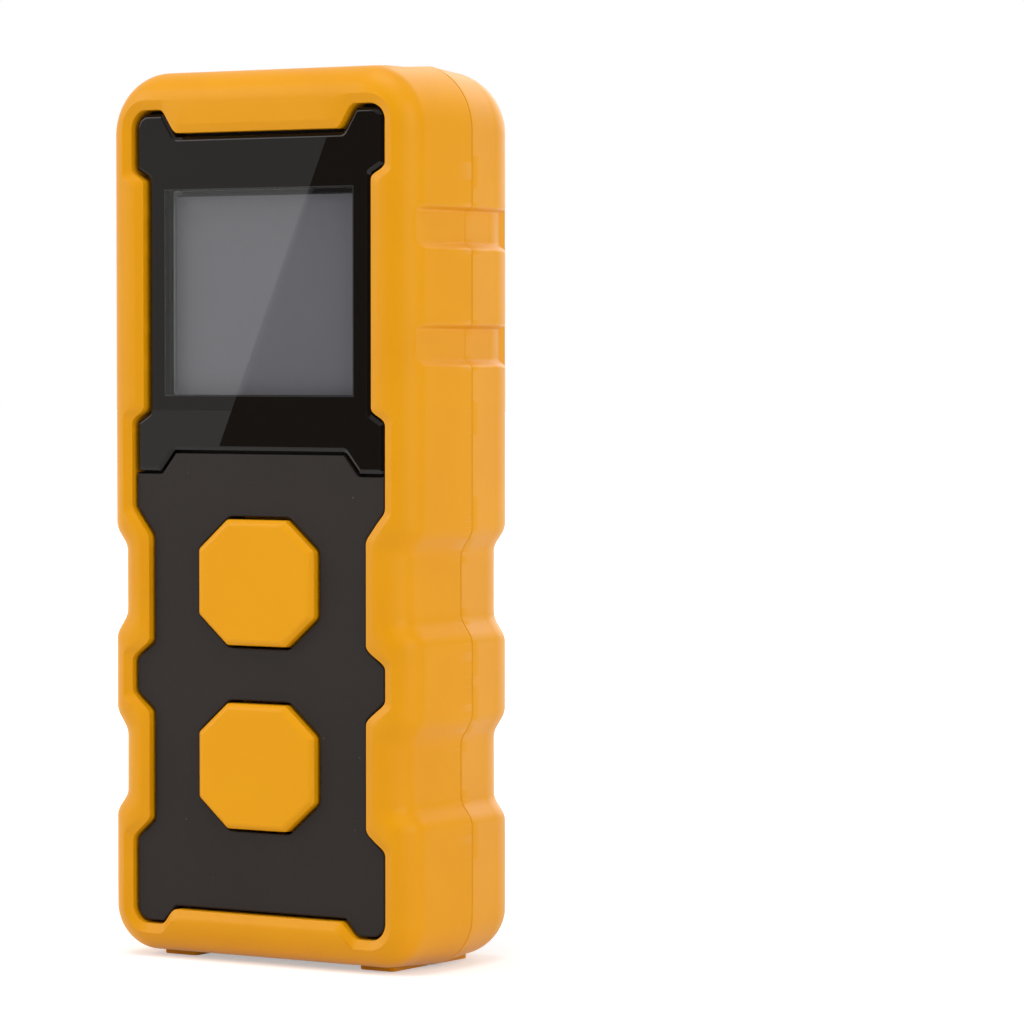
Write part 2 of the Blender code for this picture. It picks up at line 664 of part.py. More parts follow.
def make_port_panel(look):
    """Plate in the end face, pierced for two sockets and the laser window."""
    body = port_outline(GAP)
    panel = along_z("port_panel", [(PORT_FLANGE[0], body), (PORT_TOP, body)], look)
    reach = PORT_FRONT - PORT_FLANGE_REACH, PORT_REAR + PORT_FLANGE_REACH
    flange = rounded_box(PORT_FLANGE_HALF, *reach, PORT_RADIUS)
    join(panel, along_z("port_flange", [(z, flange) for z in PORT_FLANGE]))
    for name, centre, half, cuts in (
        ("data", DATA_CENTRE, DATA_HALF, DATA_CUTS),
        ("video", VIDEO_CENTRE, VIDEO_HALF, VIDEO_CUTS),
    ):
        outline = cut_box(half, cuts)
        hole = moved(grown(outline, GAP), centre)
        recess = moved(grown(outline, SOCKET_RECESS), centre)
        cut(panel, along_z(f"{name}_hole", [(PORT_FLANGE[0] - PAST, hole), (PORT_TOP, hole)]))
        heights = PORT_TOP - RECESS_DEPTH, PORT_TOP + PAST
        cut(panel, along_z(f"{name}_recess", [(z, recess) for z in heights]))
    bore = circle(LASER_CENTRE, LASER_BORE_RADIUS)
    cut(panel, along_z("laser_bore", [(PORT_FLANGE[0] - PAST, bore), (PORT_TOP + PAST, bore)]))


def make_laser_window(look):
    """Small domed window of the laser."""
    along_z("laser_window", [(z, circle(LASER_CENTRE, radius)) for z, radius in LASER_DOME], look)


def socket_rings(outline, mouth, floor, bottom):
    """Levels of a thin-walled can, open at its mouth: up the outside, over the lip and down inside."""
    inner = grown(outline, -SOCKET_WALL)
    return [(bottom, outline), (mouth, outline), (mouth, inner), (floor, inner)]


def tongue_rings(half, base_half, base, root, tip):
    """Levels of a socket's tongue: a base block, then the thin blade."""
    block = cut_box(base_half, (0.2, 0.2, 0.2, 0.2))
    blade = cut_box(half, (0.1, 0.1, 0.1, 0.1))
    return [(base, block), (root, block), (root, blade), (tip, blade)]


def make_end_sockets(steel, dark):
    """Two metal cans in the end face, each with its tongue."""
    floor = SOCKET_BOTTOM + CAN_FLOOR
    for name, centre, half, cuts, blade in (
        ("data", DATA_CENTRE, DATA_HALF, DATA_CUTS, DATA_BLADE),
        ("video", VIDEO_CENTRE, VIDEO_HALF, VIDEO_CUTS, VIDEO_BLADE),
    ):
        rings = socket_rings(cut_box(half, cuts), SOCKET_TOP, floor, SOCKET_BOTTOM)
        along_z(f"{name}_socket_shell", [(z, moved(outline, centre)) for z, outline in rings], steel)
        rings = tongue_rings(*blade, floor + GAP, floor + BLADE_ROOT, SOCKET_TOP - BLADE_SET_BACK)
        along_z(f"{name}_socket_tongue", [(z, moved(outline, centre)) for z, outline in rings], dark)


def make_charge_socket(steel, dark):
    """Round-ended metal can that opens through the back, with its tongue."""
    outline = rounded_box(CHARGE_HALF[0], -CHARGE_HALF[1], CHARGE_HALF[1], CHARGE_RADIUS)
    mouth, bottom = CHARGE_DEPTH
    centre = (0.0, CHARGE_HEIGHT)
    floor = bottom + CAN_FLOOR
    rings = socket_rings(outline, mouth, floor, bottom)
    along_y("charge_socket_shell", [(y, moved(shape, centre)) for y, shape in rings], steel)
    rings = tongue_rings(*CHARGE_BLADE, floor + GAP, floor + BLADE_ROOT, mouth - BLADE_SET_BACK)
    along_y("charge_socket_tongue", [(y, moved(shape, centre)) for y, shape in rings], dark)


# ---- assembly ---------------------------------------------------------------------------------


def main():
    """Build every piece of the instrument."""
    clear_scene()
    orange = material("case_orange", (0.85, 0.35, 0.015), 0.5)
    charcoal = material("panel_charcoal", (0.035, 0.030, 0.028), 0.6)
    black = material("cover_black", (0.013, 0.012, 0.011), 0.55)
    glass = material("screen_glass", (0.02, 0.02, 0.022), 0.05)
    display = material("display_grey", (0.16, 0.16, 0.18), 0.25)
    white = material("light_guide", (0.75, 0.75, 0.72), 0.4)
    rubber = material("gasket_black", (0.01, 0.01, 0.01), 0.8)
    steel = material("socket_steel", (0.62, 0.59, 0.52), 0.25, 1.0)
    screw_steel = material("screw_black", (0.03, 0.03, 0.03), 0.4, 1.0)
    green = material("board_green", (0.01, 0.10, 0.04), 0.45)
    switch_grey = material("switch_grey", (0.08, 0.08, 0.08), 0.5)
    foil = material("battery_foil", (0.50, 0.51, 0.52), 0.35)
    brass = material("laser_brass", (0.62, 0.45, 0.18), 0.3, 1.0)
    red_glass = material("laser_glass", (0.05, 0.03, 0.03), 0.1)

    make_front_shell(orange)
    make_rear_shell(orange)
    make_front_panel(charcoal)
    make_rear_panel(charcoal)
    make_screen(glass, rubber, display, white)
    make_battery_cover(black)
    for i, centre in enumerate(COVER_SCREWS, 1):
        shape = HEAD_RADIUS, COVER_HEAD_BASE, COVER_SCREW_TIP
        make_screw(f"cover_screw_{i}", centre, *shape, screw_steel)
    for i, centre in enumerate(CASE_SCREWS, 1):
        shape = CASE_HEAD_RADIUS, CASE_HEAD_BASE, CASE_SCREW_TIP
        make_screw(f"case_screw_{i}", centre, *shape, screw_steel)
    for name, height in BUTTON_HEIGHTS.items():
        make_button(name, height, orange)
        make_switch(f"{name}_switch", height, BOARD_FRONT - GAP, -1, switch_grey)
    make_rear_key(black)
    make_switch("rear_key_switch", KEY_HEIGHT, BOARD_BACK + GAP, 1, switch_grey)
    make_board(green)
    make_inside(foil, black, brass)
    make_port_panel(black)
    make_laser_window(red_glass)
    make_end_sockets(steel, black)
    make_charge_socket(steel, black)


main()
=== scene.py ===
# %% [markdown]
# # A pocket laser distance meter
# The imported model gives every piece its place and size. This lesson dresses it: it rebuilds the
# visible mouldings with the soft edges that a mould leaves, and gives each one a finish made of nodes.
# Lengths are in millimetres and turn into metres where a mesh is made. Depths count from the parting
# plane between the two case halves.

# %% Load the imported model
import math

import bmesh
import bpy
import numpy as np
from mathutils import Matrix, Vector


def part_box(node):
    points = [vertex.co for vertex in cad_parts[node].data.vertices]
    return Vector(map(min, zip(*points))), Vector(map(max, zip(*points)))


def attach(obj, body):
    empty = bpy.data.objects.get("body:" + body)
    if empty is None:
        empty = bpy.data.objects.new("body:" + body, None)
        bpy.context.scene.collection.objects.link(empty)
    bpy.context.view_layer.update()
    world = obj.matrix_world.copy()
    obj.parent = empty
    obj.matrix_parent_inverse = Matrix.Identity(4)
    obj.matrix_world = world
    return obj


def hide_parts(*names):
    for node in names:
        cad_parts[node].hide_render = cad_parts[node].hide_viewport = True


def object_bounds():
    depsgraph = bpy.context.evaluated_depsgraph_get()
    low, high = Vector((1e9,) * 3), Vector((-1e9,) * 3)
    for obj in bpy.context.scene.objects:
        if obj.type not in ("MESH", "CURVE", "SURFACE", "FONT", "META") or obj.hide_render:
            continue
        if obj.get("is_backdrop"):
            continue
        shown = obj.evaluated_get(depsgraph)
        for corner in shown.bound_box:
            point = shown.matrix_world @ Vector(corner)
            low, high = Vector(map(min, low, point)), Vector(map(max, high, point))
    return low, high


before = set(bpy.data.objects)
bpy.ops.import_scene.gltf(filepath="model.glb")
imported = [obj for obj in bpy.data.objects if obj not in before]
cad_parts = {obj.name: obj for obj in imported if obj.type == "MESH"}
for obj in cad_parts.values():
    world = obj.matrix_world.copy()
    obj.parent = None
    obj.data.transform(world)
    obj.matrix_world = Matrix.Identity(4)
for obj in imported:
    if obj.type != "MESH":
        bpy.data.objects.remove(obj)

cad_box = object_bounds()
MM = 0.001
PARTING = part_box("front_shell")[1].y / MM
print("nodes:", len(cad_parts), "parting plane at Y =", round(PARTING, 3), "mm")

# %% [markdown]
# ## Shader expressions
# A material is a small calculation that runs at every point of a surface. Wiring it by hand hides the
# sum, so a socket is wrapped in a class whose operators add the Math nodes. `1 - mask` then reads as it
# should, and every other node comes from one method.

# %% A socket that can be calculated with
class Wire:
    """The output of a node, as a value in an expression."""

    def __init__(self, look, socket):
        self.look, self.socket = look, socket

    def math(self, operation, *values):
        return self.look.node("ShaderNodeMath", {"operation": operation}, dict(enumerate(values)))

    def __add__(self, other):
        return self.math("ADD", self, other)

    def __sub__(self, other):
        return self.math("SUBTRACT", self, other)

    def __rsub__(self, other):
        return self.math("SUBTRACT", other, self)

    def __mul__(self, other):
        return self.math("MULTIPLY", self, other)

    __radd__ = __add__
    __rmul__ = __mul__

    def absolute(self):
        return self.math("ABSOLUTE", self)

    def above(self, edge, width):
        """0 below an edge and 1 above it, with a soft step of the given width."""
        settings = {"interpolation_type": "SMOOTHSTEP"}
        values = {"Value": self, "From Min": edge - width / 2, "From Max": edge + width / 2}
        return self.look.node("ShaderNodeMapRange", settings, values)


class Look:
    """One material, and the nodes that it is made of."""

    def __init__(self, name, **plain):
        self.material = bpy.data.materials.new(name)
        self.material.use_nodes = True
        self.tree = self.material.node_tree
        self.shader = self.tree.nodes["Principled BSDF"]
        for socket, value in plain.items():
            self.set(socket.replace("_", " "), value)

    def put(self, socket, value):
        if isinstance(value, Wire):
            self.tree.links.new(value.socket, socket)
        elif isinstance(value, tuple) and len(value) == 3 and len(socket.default_value) == 4:
            socket.default_value = (*value, 1.0)
        else:
            socket.default_value = value

    def node(self, kind, settings=None, values=None, out=0):
        made = self.tree.nodes.new(kind)
        for name, value in (settings or {}).items():
            setattr(made, name, value)
        for name, value in (values or {}).items():
            self.put(made.inputs[name], value)
        return Wire(self, made.outputs[out])

    def set(self, socket, value):
        self.put(self.shader.inputs[socket], value)

    def mix(self, amount, first, second):
        """A colour between two colours."""
        settings = {"data_type": "RGBA"}
        return self.node("ShaderNodeMix", settings, {0: amount, 6: first, 7: second}, out=2)

    def paint(self, amount, colour):
        """Lay a colour over the base colour, as far as `amount` says."""
        under = Wire(self, self.shader.inputs["Base Color"].links[0].from_socket)
        self.set("Base Color", self.mix(amount, under, colour))

    def place(self):
        """The point on the piece, in metres, in the frame that the piece was made in."""
        return self.node("ShaderNodeTexCoord", out=3)

    def axes(self):
        """The same point as three values in millimetres."""
        split = self.node("ShaderNodeSeparateXYZ", {}, {0: self.place()})
        outputs = split.socket.node.outputs
        return [Wire(self, outputs[i]) * (1 / MM) for i in range(3)]

    def noise(self, size, detail=2.0, roughness=0.5):
        """A cloud between 0 and 1 whose features are about `size` millimetres across."""
        values = {"Vector": self.place(), "Scale": 1 / (size * MM), "Detail": detail,
                  "Roughness": roughness}
        return self.node("ShaderNodeTexNoise", {}, values)

    def bump(self, height, distance, strength=1.0):
        """Let a height, 0 to 1, tilt the surface; `distance` is its depth in millimetres."""
        values = {"Height": height, "Distance": distance * MM, "Strength": strength}
        self.set("Normal", self.node("ShaderNodeBump", {}, values))


print("shader helpers ready")

# %% [markdown]
# ## Moulded skins and plastics
# The case wears a soft orange skin with an eroded, satin grain. Real mould texture is an even sand of
# dimples about a tenth of a millimetre across, over very faint clouds where the resin flowed. Two noises
# give that: the fine one tilts the surface and breaks up the gloss, the wide one shifts the colour.

# %% Orange skin and orange keys
def moulded(name, deep, pale, rough, grain, depth, level, cloud=9.0):
    """A moulded plastic: colour clouds between two tones, and a fine sand that breaks up its gloss."""
    look = Look(name, Specular_IOR_Level=level)
    sand = look.noise(grain, 3.0, 0.6)
    clouds = look.noise(cloud, 3.0)
    look.set("Base Color", look.mix(clouds.above(0.5, 0.5), deep, pale))
    look.set("Roughness", rough + (sand - 0.5) * 0.22)
    look.bump(sand, depth)
    return look


skin = moulded("satin_orange_skin", (0.790, 0.323, 0.0005), (0.820, 0.343, 0.001),
               rough=0.40, grain=0.16, depth=0.008, level=0.20)
key_skin = moulded("smooth_orange_key", (0.840, 0.352, 0.0005), (0.860, 0.366, 0.001),
                   rough=0.36, grain=0.22, depth=0.003, level=0.17)
print("orange finishes:", skin.material.name, key_skin.material.name)

# %% [markdown]
# The dark mouldings carry a coarser spark-eroded grain, and dust settles in it. A Voronoi texture has
# one point in each cell, so keeping only what lies very close to a point gives sparse specks.

# %% Dark plastics
DUST_COLOUR, DUST_SPACING, SPECK_SIZE = (0.16, 0.14, 0.12), 3.1, 0.035


def dark_plastic(name, deep, pale, rough, level, dust):
    """A grained dark plastic with a few pale specks of dust."""
    look = moulded(name, deep, pale, rough, grain=0.2, depth=0.012, level=level, cloud=14.0)
    values = {"Vector": look.place(), "Scale": 1 / (DUST_SPACING * MM)}
    specks = 1 - look.node("ShaderNodeTexVoronoi", {}, values).above(SPECK_SIZE, 0.01)
    look.paint(specks * dust, DUST_COLOUR)
    return look


charcoal = dark_plastic("charcoal_front", (0.0205, 0.0158, 0.0136), (0.0235, 0.0182, 0.0157),
                        rough=0.58, level=0.165, dust=0.25)
slate = dark_plastic("charcoal_back", (0.0160, 0.0125, 0.0112), (0.0185, 0.0145, 0.013),
                     rough=0.60, level=0.14, dust=0.4)
cover_black = dark_plastic("cover_black", (0.0095, 0.0088, 0.0080), (0.011, 0.0102, 0.009),
                           rough=0.58, level=0.12, dust=0.5)
key_black = dark_plastic("key_black", (0.013, 0.012, 0.011), (0.015, 0.014, 0.013),
                         rough=0.36, level=0.40, dust=0.2)
end_black = dark_plastic("end_black", (0.0145, 0.0115, 0.0105), (0.017, 0.0135, 0.012),
                         rough=0.55, level=0.14, dust=0.4)
print("dark finishes: 5")

# %% [markdown]
# ## Screen
# The cover glass is one sheet, painted black behind its border and left clear over the display. Instead
# of two sheets, one material reads where it is on the piece and turns its alpha down inside the window,
# with a hairline of paler print round it. The display behind is a matt grey film with a soft sheen.

# %% Cover glass and display
WINDOW = (12.0, 59.6, 81.1)
FILM_TOP = 80.45
GRIP_FIELD = (8.7, 15.8, 46.3)


def within(look, shape, blur, margin=0.0):
    """1 inside a rectangle that is centred on X = 0, and 0 outside it."""
    half, low, high = shape[0] + margin, shape[1] - margin, shape[2] + margin
    x, _, z = look.axes()
    return (1 - x.absolute().above(half, blur)) * z.above(low, blur) * (1 - z.above(high, blur))


glass = Look("cover_glass", IOR=1.42, Specular_IOR_Level=0.30, Coat_Roughness=0.0, Coat_IOR=1.9)
window = within(glass, WINDOW, 0.04)
print_line = within(glass, WINDOW, 0.06, 0.12) - window
smudge = glass.noise(6.0, 3.0)
glass.set("Base Color", glass.mix(print_line * 0.7, (0.0075, 0.0055, 0.0040), (0.05, 0.05, 0.05)))
glass.set("Roughness", smudge.above(0.55, 0.4) * 0.012)
glass.set("Coat Weight", window)
glass.set("Alpha", 1 - window * 0.70)

film = Look("display_film", Specular_IOR_Level=0.2)
tint = film.noise(16.0, 2.0)
film_grey = film.mix(tint, (0.49, 0.485, 0.54), (0.51, 0.505, 0.56))
film.set("Base Color", film.mix(film.axes()[2].above(FILM_TOP, 0.05), film_grey, (0.10, 0.10, 0.10)))
film.set("Roughness", 0.35 + tint * 0.1)

# A fine paler line is painted round the field of finger slots. The window walls get painted light: they are
# charcoal, painted pale so that they show as bright as the glare-lit band round the display.
field_line = within(cover_black, GRIP_FIELD, 0.08, 0.1) - within(cover_black, GRIP_FIELD, 0.08, -0.1)
cover_black.paint(field_line * 0.5, (0.018, 0.017, 0.016))
# Painted light: the charcoal walls of the window are painted pale grey.
charcoal.paint(within(charcoal, WINDOW, 0.05, 0.15), (0.80, 0.80, 0.80))
print("screen finishes:", glass.material.name, film.material.name)

# %% [markdown]
# ## Metal and small parts
# The sockets are folded from plated steel, bright at the cut lip. Down inside, the colour turns near black
# as painted shade, where nothing lights them; the mix runs along the depth of the can. Screws are
# black-plated, so their edges shine a little.

# %% Socket steel, screws and inner parts
END_MOUTH, CHARGE_MOUTH = 92.95, 8.6


def can_steel(name, axis, mouth, lip):
    """Plated steel with painted shade: its colour falls into darkness away from the mouth."""
    look = Look(name, Metallic=1.0)
    depth = mouth - look.axes()[axis]
    # Painted shade: deeper than about half a millimetre below the mouth, the steel is mixed into near
    # black.
    painted_deep_shade = depth.above(0.45, 0.5)
    fine = look.noise(0.12, 2.0)
    look.set("Base Color", look.mix(painted_deep_shade, lip, (0.012, 0.011, 0.010)))
    look.set("Roughness", 0.26 + fine * 0.16)
    return look


end_steel = can_steel("end_socket_steel", 2, END_MOUTH, (0.66, 0.61, 0.52))
rear_steel = can_steel("rear_socket_steel", 1, CHARGE_MOUTH + PARTING, (0.05, 0.045, 0.04))


def plain(name, colour, rough, metallic=0.0, grain=0.3):
    """A simple finish for small and inner parts, with a little variation in tone and gloss."""
    look = Look(name, Metallic=metallic)
    sand = look.noise(grain, 3.0)
    pale = tuple(min(1.0, c * 1.25) for c in colour)
    look.set("Base Color", look.mix(sand, colour, pale))
    look.set("Roughness", rough + sand * 0.1)
    look.bump(sand, 0.006)
    return look


screw_black = plain("black_plated_screw", (0.014, 0.013, 0.012), 0.26, 0.5)
tongue = plain("socket_tongue", (0.020, 0.020, 0.020), 0.5)
lens_dark = plain("beam_window", (0.012, 0.010, 0.010), 0.16)
gasket_black = plain("gasket_film", (0.009, 0.009, 0.009), 0.7)
light_guide = plain("light_guide", (0.70, 0.70, 0.68), 0.35)
switch_grey = plain("switch_body", (0.07, 0.07, 0.07), 0.5)
foil = plain("battery_foil", (0.46, 0.47, 0.48), 0.3, 0.7)
brass = plain("turned_brass", (0.60, 0.42, 0.16), 0.25, 1.0)
board = plain("solder_mask", (0.010, 0.09, 0.035), 0.4, 0.0, 1.2)
print("small finishes: 9")

# %% [markdown]
# ## From outlines to solids
# Nearly every piece here is a moulding: an outline, pushed along one direction, whose edge rolls over at
# the visible end. So the main tool fillets the corners of an outline and can grow or shrink it, and the
# second one stacks such outlines into a closed mesh. A stack gives exact control of an edge's roll, which
# a Bevel modifier loses once holes have been cut.

# %% Outline with rounded corners
def filleted(corners, radius, grow=0.0, steps=6):
    """An anticlockwise outline with round corners, grown outwards. Each corner is (x, z) or (x, z, r)."""
    points = [Vector(corner[:2]) for corner in corners]
    ring = []
    for i, corner in enumerate(corners):
        before = (points[i] - points[i - 1]).normalized()
        after = (points[(i + 1) % len(points)] - points[i]).normalized()
        first, last = Vector((before.y, -before.x)), Vector((after.y, -after.x))
        mitre = (first + last) / (1 + first.dot(last))
        bend = math.atan2(before.cross(after), before.dot(after))
        side = math.copysign(1.0, bend)
        round_off = max((corner[2] if len(corner) > 2 else radius) + side * grow, 0.02) * side
        centre = points[i] + mitre * (grow - round_off)
        start = math.atan2(first.y, first.x)
        for k in range(steps + 1):
            turn = start + bend * k / steps
            ring.append((centre.x + round_off * math.cos(turn), centre.y + round_off * math.sin(turn)))
    return np.array(ring)


def both_sides(right):
    """A whole outline from its right-hand half, which runs from the lowest point to the highest."""
    return list(right) + [(-p[0], *p[1:]) for p in reversed(right)]


def block(half, low, high):
    """The four corners of a rectangle that is centred on X = 0."""
    return [(half, low), (half, high), (-half, high), (-half, low)]


def outline_of(corners, radius):
    """A filleted outline as a function of how far it is grown."""
    return lambda grow=0.0: filleted(corners, radius, grow)


def round_outline(centre, radius, steps=40):
    """A circle as a function of how far it is grown."""
    turn = np.linspace(0, 2 * math.pi, steps, endpoint=False)
    return lambda grow=0.0: np.stack([centre[0] + (radius + grow) * np.cos(turn),
                                      centre[1] + (radius + grow) * np.sin(turn)], 1)


print("a filleted square has", len(filleted(block(5, 0, 8), 1.0)), "points")

# %% [markdown]
# Rings of equal length join into quads, and the first and last ring close into end faces. A mesh without
# a look is only a cutter. One with a look is a piece: it rides on a body, fills a slot with the look and
# hides the imported nodes that it stands in for.

# %% Stack of rings into a mesh
SHARP = math.radians(34)
GUARD = 0.04
WELD = 2e-6


def solid(name, rings, look=None, body="case", nodes=(), tube=False):
    """A closed mesh through rings of equal length; a tube joins its last ring to its first."""
    rings = np.asarray(rings, float) + np.array((0.0, PARTING, 0.0))
    count, size = rings.shape[:2]
    faces = []
    for k in range(count if tube else count - 1):
        low, high = k * size, (k + 1) % count * size
        faces += [(low + i, low + (i + 1) % size, high + (i + 1) % size, high + i) for i in range(size)]
    if not tube:
        faces += [tuple(range(size))[::-1], tuple(range((count - 1) * size, count * size))]
    mesh = bpy.data.meshes.new(name)
    mesh.from_pydata((rings.reshape(-1, 3) * MM).tolist(), [], faces)
    work = bmesh.new()
    work.from_mesh(mesh)
    bmesh.ops.remove_doubles(work, verts=work.verts, dist=WELD)
    bmesh.ops.recalc_face_normals(work, faces=work.faces)
    work.to_mesh(mesh)
    work.free()
    piece = bpy.data.objects.new(name, mesh)
    bpy.context.scene.collection.objects.link(piece)
    if look is not None:
        mesh.materials.append(look.material)
        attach(piece, body)
        if nodes:
            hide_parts(*nodes)
    return piece


def levelled(outline, levels):
    """(level, ring) pairs for (level, grow) pairs; a guard ring at each end keeps the end face flat."""
    first, last = levels[0], levels[-1]
    levels = [(first[0], first[1] - GUARD), *levels, (last[0], last[1] - GUARD)]
    return [(level, outline(grow)) for level, grow in levels]


def along_y(outline, levels, side=1):
    """Rings for levels of (depth, grow) of an outline in XZ; side -1 turns them into the front half."""
    return [[(x, side * depth, z) for x, z in ring] for depth, ring in levelled(outline, levels)]


def along_z(outline, levels):
    """Rings for levels of (height, grow) of an outline in XY."""
    return [[(x, y, height) for x, y in ring] for height, ring in levelled(outline, levels)]


def finish(piece, *cutters):
    """Cut with the cutters, drop them, and shade smooth with sharp creases and flat large faces."""
    for cutter in cutters:
        change = piece.modifiers.new(cutter.name, "BOOLEAN")
        change.operation, change.object, change.solver = "DIFFERENCE", cutter, "EXACT"
    if cutters:
        bpy.context.view_layer.update()
        graph = bpy.context.evaluated_depsgraph_get()
        cut = bpy.data.meshes.new_from_object(piece.evaluated_get(graph))
        piece.modifiers.clear()
        piece.data = cut
        for cutter in cutters:
            bpy.data.objects.remove(cutter)
    piece.data.shade_smooth()
    piece.data.set_sharp_from_angle(angle=SHARP)
    weighted = piece.modifiers.new("flat faces stay flat", "WEIGHTED_NORMAL")
    weighted.keep_sharp, weighted.weight, weighted.mode = True, 50, "FACE_AREA_WITH_ANGLE"
    print(f"{piece.name}: {len(piece.data.polygons)} faces")
    return piece


# %% [markdown]
# ## Case halves
# Each half is an orange ring: a side with a little draft, a rolled edge, a rim round the dark panel, and
# finger dips that sink into the side. The outline of the side and the outline of the rim have different
# bends, so both are sampled on the same set of lines, one behind the other, and the mesh runs from line
# to line. Corners in the outlines are softened by a short parabola in place of each kink.

# %% Lines round the case
def spots(low, high, coarse, marks, fine, reach):
    """Samples between two heights, close together round the marks."""
    values = set(np.round(np.arange(low, high, coarse), 3)) | {high}
    for mark in marks:
        values |= set(np.round(np.arange(mark - reach, mark + reach + fine / 2, fine), 3))
    kept = []
    for value in sorted(v for v in values if low <= v <= high):
        if not kept or value - kept[-1] > fine * 0.45:
            kept.append(value)
    return np.array(kept)


def ramp(value, soft):
    """Zero, then a straight rise, with a parabola of half-length `soft` at the bend."""
    return np.where(value <= -soft, 0.0, np.where(value >= soft, value, (value + soft) ** 2 / (4 * soft)))


def hollow(value, corners, soft):
    """0 outside, 1 on the floor between the second and third corner, with straight flanks."""
    a, b, c, d = corners
    rise = (ramp(value - a, soft) - ramp(value - b, soft)) / (b - a)
    return rise - (ramp(value - c, soft) - ramp(value - d, soft)) / (d - c)


FAR = (-99.0, -98.0)
HALF_WIDTH, CASE_LOW, CASE_HIGH = 20.0, 0.12, 94.05
LOW_RADIUS, HIGH_RADIUS, DIP = 5.4, 7.0, 1.4
DIPS = ((15.5, 17.3, 23.8, 25.9), (34.4, 36.4, 43.4, 45.3))
GROOVES = ((62.6, 63.3, 66.5, 66.9), (74.7, 75.4, 78.7, 79.1))
GROOVE_FLOOR, GROOVE_END = 19.1, 17.0
RIM_BENDS = (12.6, 14.5, 26.3, 28.2, 31.7, 33.4, 44.9, 47.8, 56.8, 57.8, 82.4, 83.3)
WIDE_BENDS = [z for dip in DIPS for z in dip] + list(RIM_BENDS)
GROOVE_BENDS = [z for groove in GROOVES for z in groove]
SIDE = np.array(sorted(set(spots(7.4, 87.3, 1.1, WIDE_BENDS, 0.2, 1.3))
                       | set(spots(61.5, 80.2, 1.0, GROOVE_BENDS, 0.09, 0.5))))
SPAN = np.unique(np.round(np.concatenate([np.linspace(0, 1, 45), np.linspace(0.66, 0.9, 31)]), 4))
TURN = np.radians(np.linspace(0, 90, 17))[1:-1]
print("lines on one side of the case:", len(SIDE) + 2 * len(SPAN) + 2 * len(TURN))


# %% [markdown]
# ### Two outlines on the same lines
# Moving the outline inwards narrows a corner and, in a finger dip, slides the flanks together, as an
# offset of the real shape would. The rim follows the dark panel: it has its own waists and corner tabs.

# %% Outer outline and rim outline
FLANK_SPREAD, DIP_SOFT, RIM_SOFT, LEAST_RADIUS = 0.17, 0.6, 0.42, 0.3


def flank_shift(z, corners, spread):
    """Slide the flanks of a dip apart by `spread`: its foot moves down and its head moves up."""
    middle = (corners[1] + corners[2]) / 2
    return np.where(z < middle, spread, -spread)


def case_line(inset):
    """The case outline moved in by one distance, or by a distance for each line."""
    inset = np.broadcast_to(np.asarray(inset, float), (len(SIDE) + 2 * len(SPAN) + 2 * len(TURN),))
    ends = np.cumsum([len(SPAN), len(TURN), len(SIDE), len(TURN)])
    foot, low, side, high, head = np.split(inset, ends)
    spread = FLANK_SPREAD * side
    dips = sum(hollow(SIDE + flank_shift(SIDE, dip, spread), dip, DIP_SOFT) for dip in DIPS)
    foot_r, low_r = (np.maximum(LOW_RADIUS - part, LEAST_RADIUS) for part in (foot, low))
    high_r, head_r = (np.maximum(HIGH_RADIUS - part, LEAST_RADIUS) for part in (high, head))
    parts = [
        np.stack([SPAN * (HALF_WIDTH - foot - foot_r), CASE_LOW + foot], 1),
        np.stack([HALF_WIDTH - low - low_r + low_r * np.sin(TURN),
                  CASE_LOW + low + low_r * (1 - np.cos(TURN))], 1),
        np.stack([HALF_WIDTH - side - DIP * dips, SIDE], 1),
        np.stack([HALF_WIDTH - high - high_r * (1 - np.cos(TURN)),
                  CASE_HIGH - high - high_r * (1 - np.sin(TURN))], 1),
        np.stack([SPAN[::-1] * (HALF_WIDTH - head - head_r), CASE_HIGH - head], 1),
    ]
    return np.concatenate(parts)


WIDE, RIM_LOW, RIM_HIGH, RIM_RADIUS = 15.9, 3.9, 89.3, 1.6
LOW_WAISTS = ((13.6, 12.6, 14.55, 26.3, 28.2), (13.6, 31.7, 33.4, 44.85, 47.8))
SCREEN_WAIST = (14.25, 56.8, 57.8, 82.4, 83.3)
LOW_TAB = (10.95, 12.5, 1.7)
HIGH_TAB = (10.7, 12.3, 2.5)


def rim_line(grow, waists, high_tab):
    """The panel's outline on every line, grown outwards."""
    wide, low, high, radius = WIDE + grow, RIM_LOW - grow, RIM_HIGH + grow, RIM_RADIUS + grow
    side_x = np.full(len(SIDE), wide)
    for floor, a, b, c, d in waists:
        first = grow * math.tan(math.atan2(WIDE - floor, b - a) / 2)
        last = grow * math.tan(math.atan2(WIDE - floor, d - c) / 2)
        corners = (a + first, b + first, c - last, d - last)
        side_x -= (WIDE - floor) * hollow(SIDE, corners, RIM_SOFT)
    foot_x, head_x = SPAN * (wide - radius), SPAN[::-1] * (wide - radius)

    def tab(x, shape):
        inner, outer, height = shape
        shift = grow * math.tan(math.atan2(height, outer - inner) / 2)
        return height * hollow(x, (*FAR, inner - shift, outer - shift), RIM_SOFT)

    return np.concatenate([
        np.stack([foot_x, low + tab(foot_x, LOW_TAB)], 1),
        np.stack([wide - radius + radius * np.sin(TURN), low + radius * (1 - np.cos(TURN))], 1),
        np.stack([side_x, SIDE], 1),
        np.stack([wide - radius + radius * np.cos(TURN), high - radius * (1 - np.sin(TURN))], 1),
        np.stack([head_x, high - (tab(head_x, HIGH_TAB) if high_tab else 0.0) + SPAN * 0], 1),
    ])


print("widest point of the case:", case_line(0.0)[:, 0].max())
print("widest point of the rim:", rim_line(0.3, LOW_WAISTS, True)[:, 0].max())

# %% [markdown]
# ### Rolling the edge
# The roll starts where the flat face ends. Where the rim is wide there is no room for the whole quarter
# turn, so each line works out how far the roll may go before it meets the rim, and the rim's own soft
# bevel takes over from there.

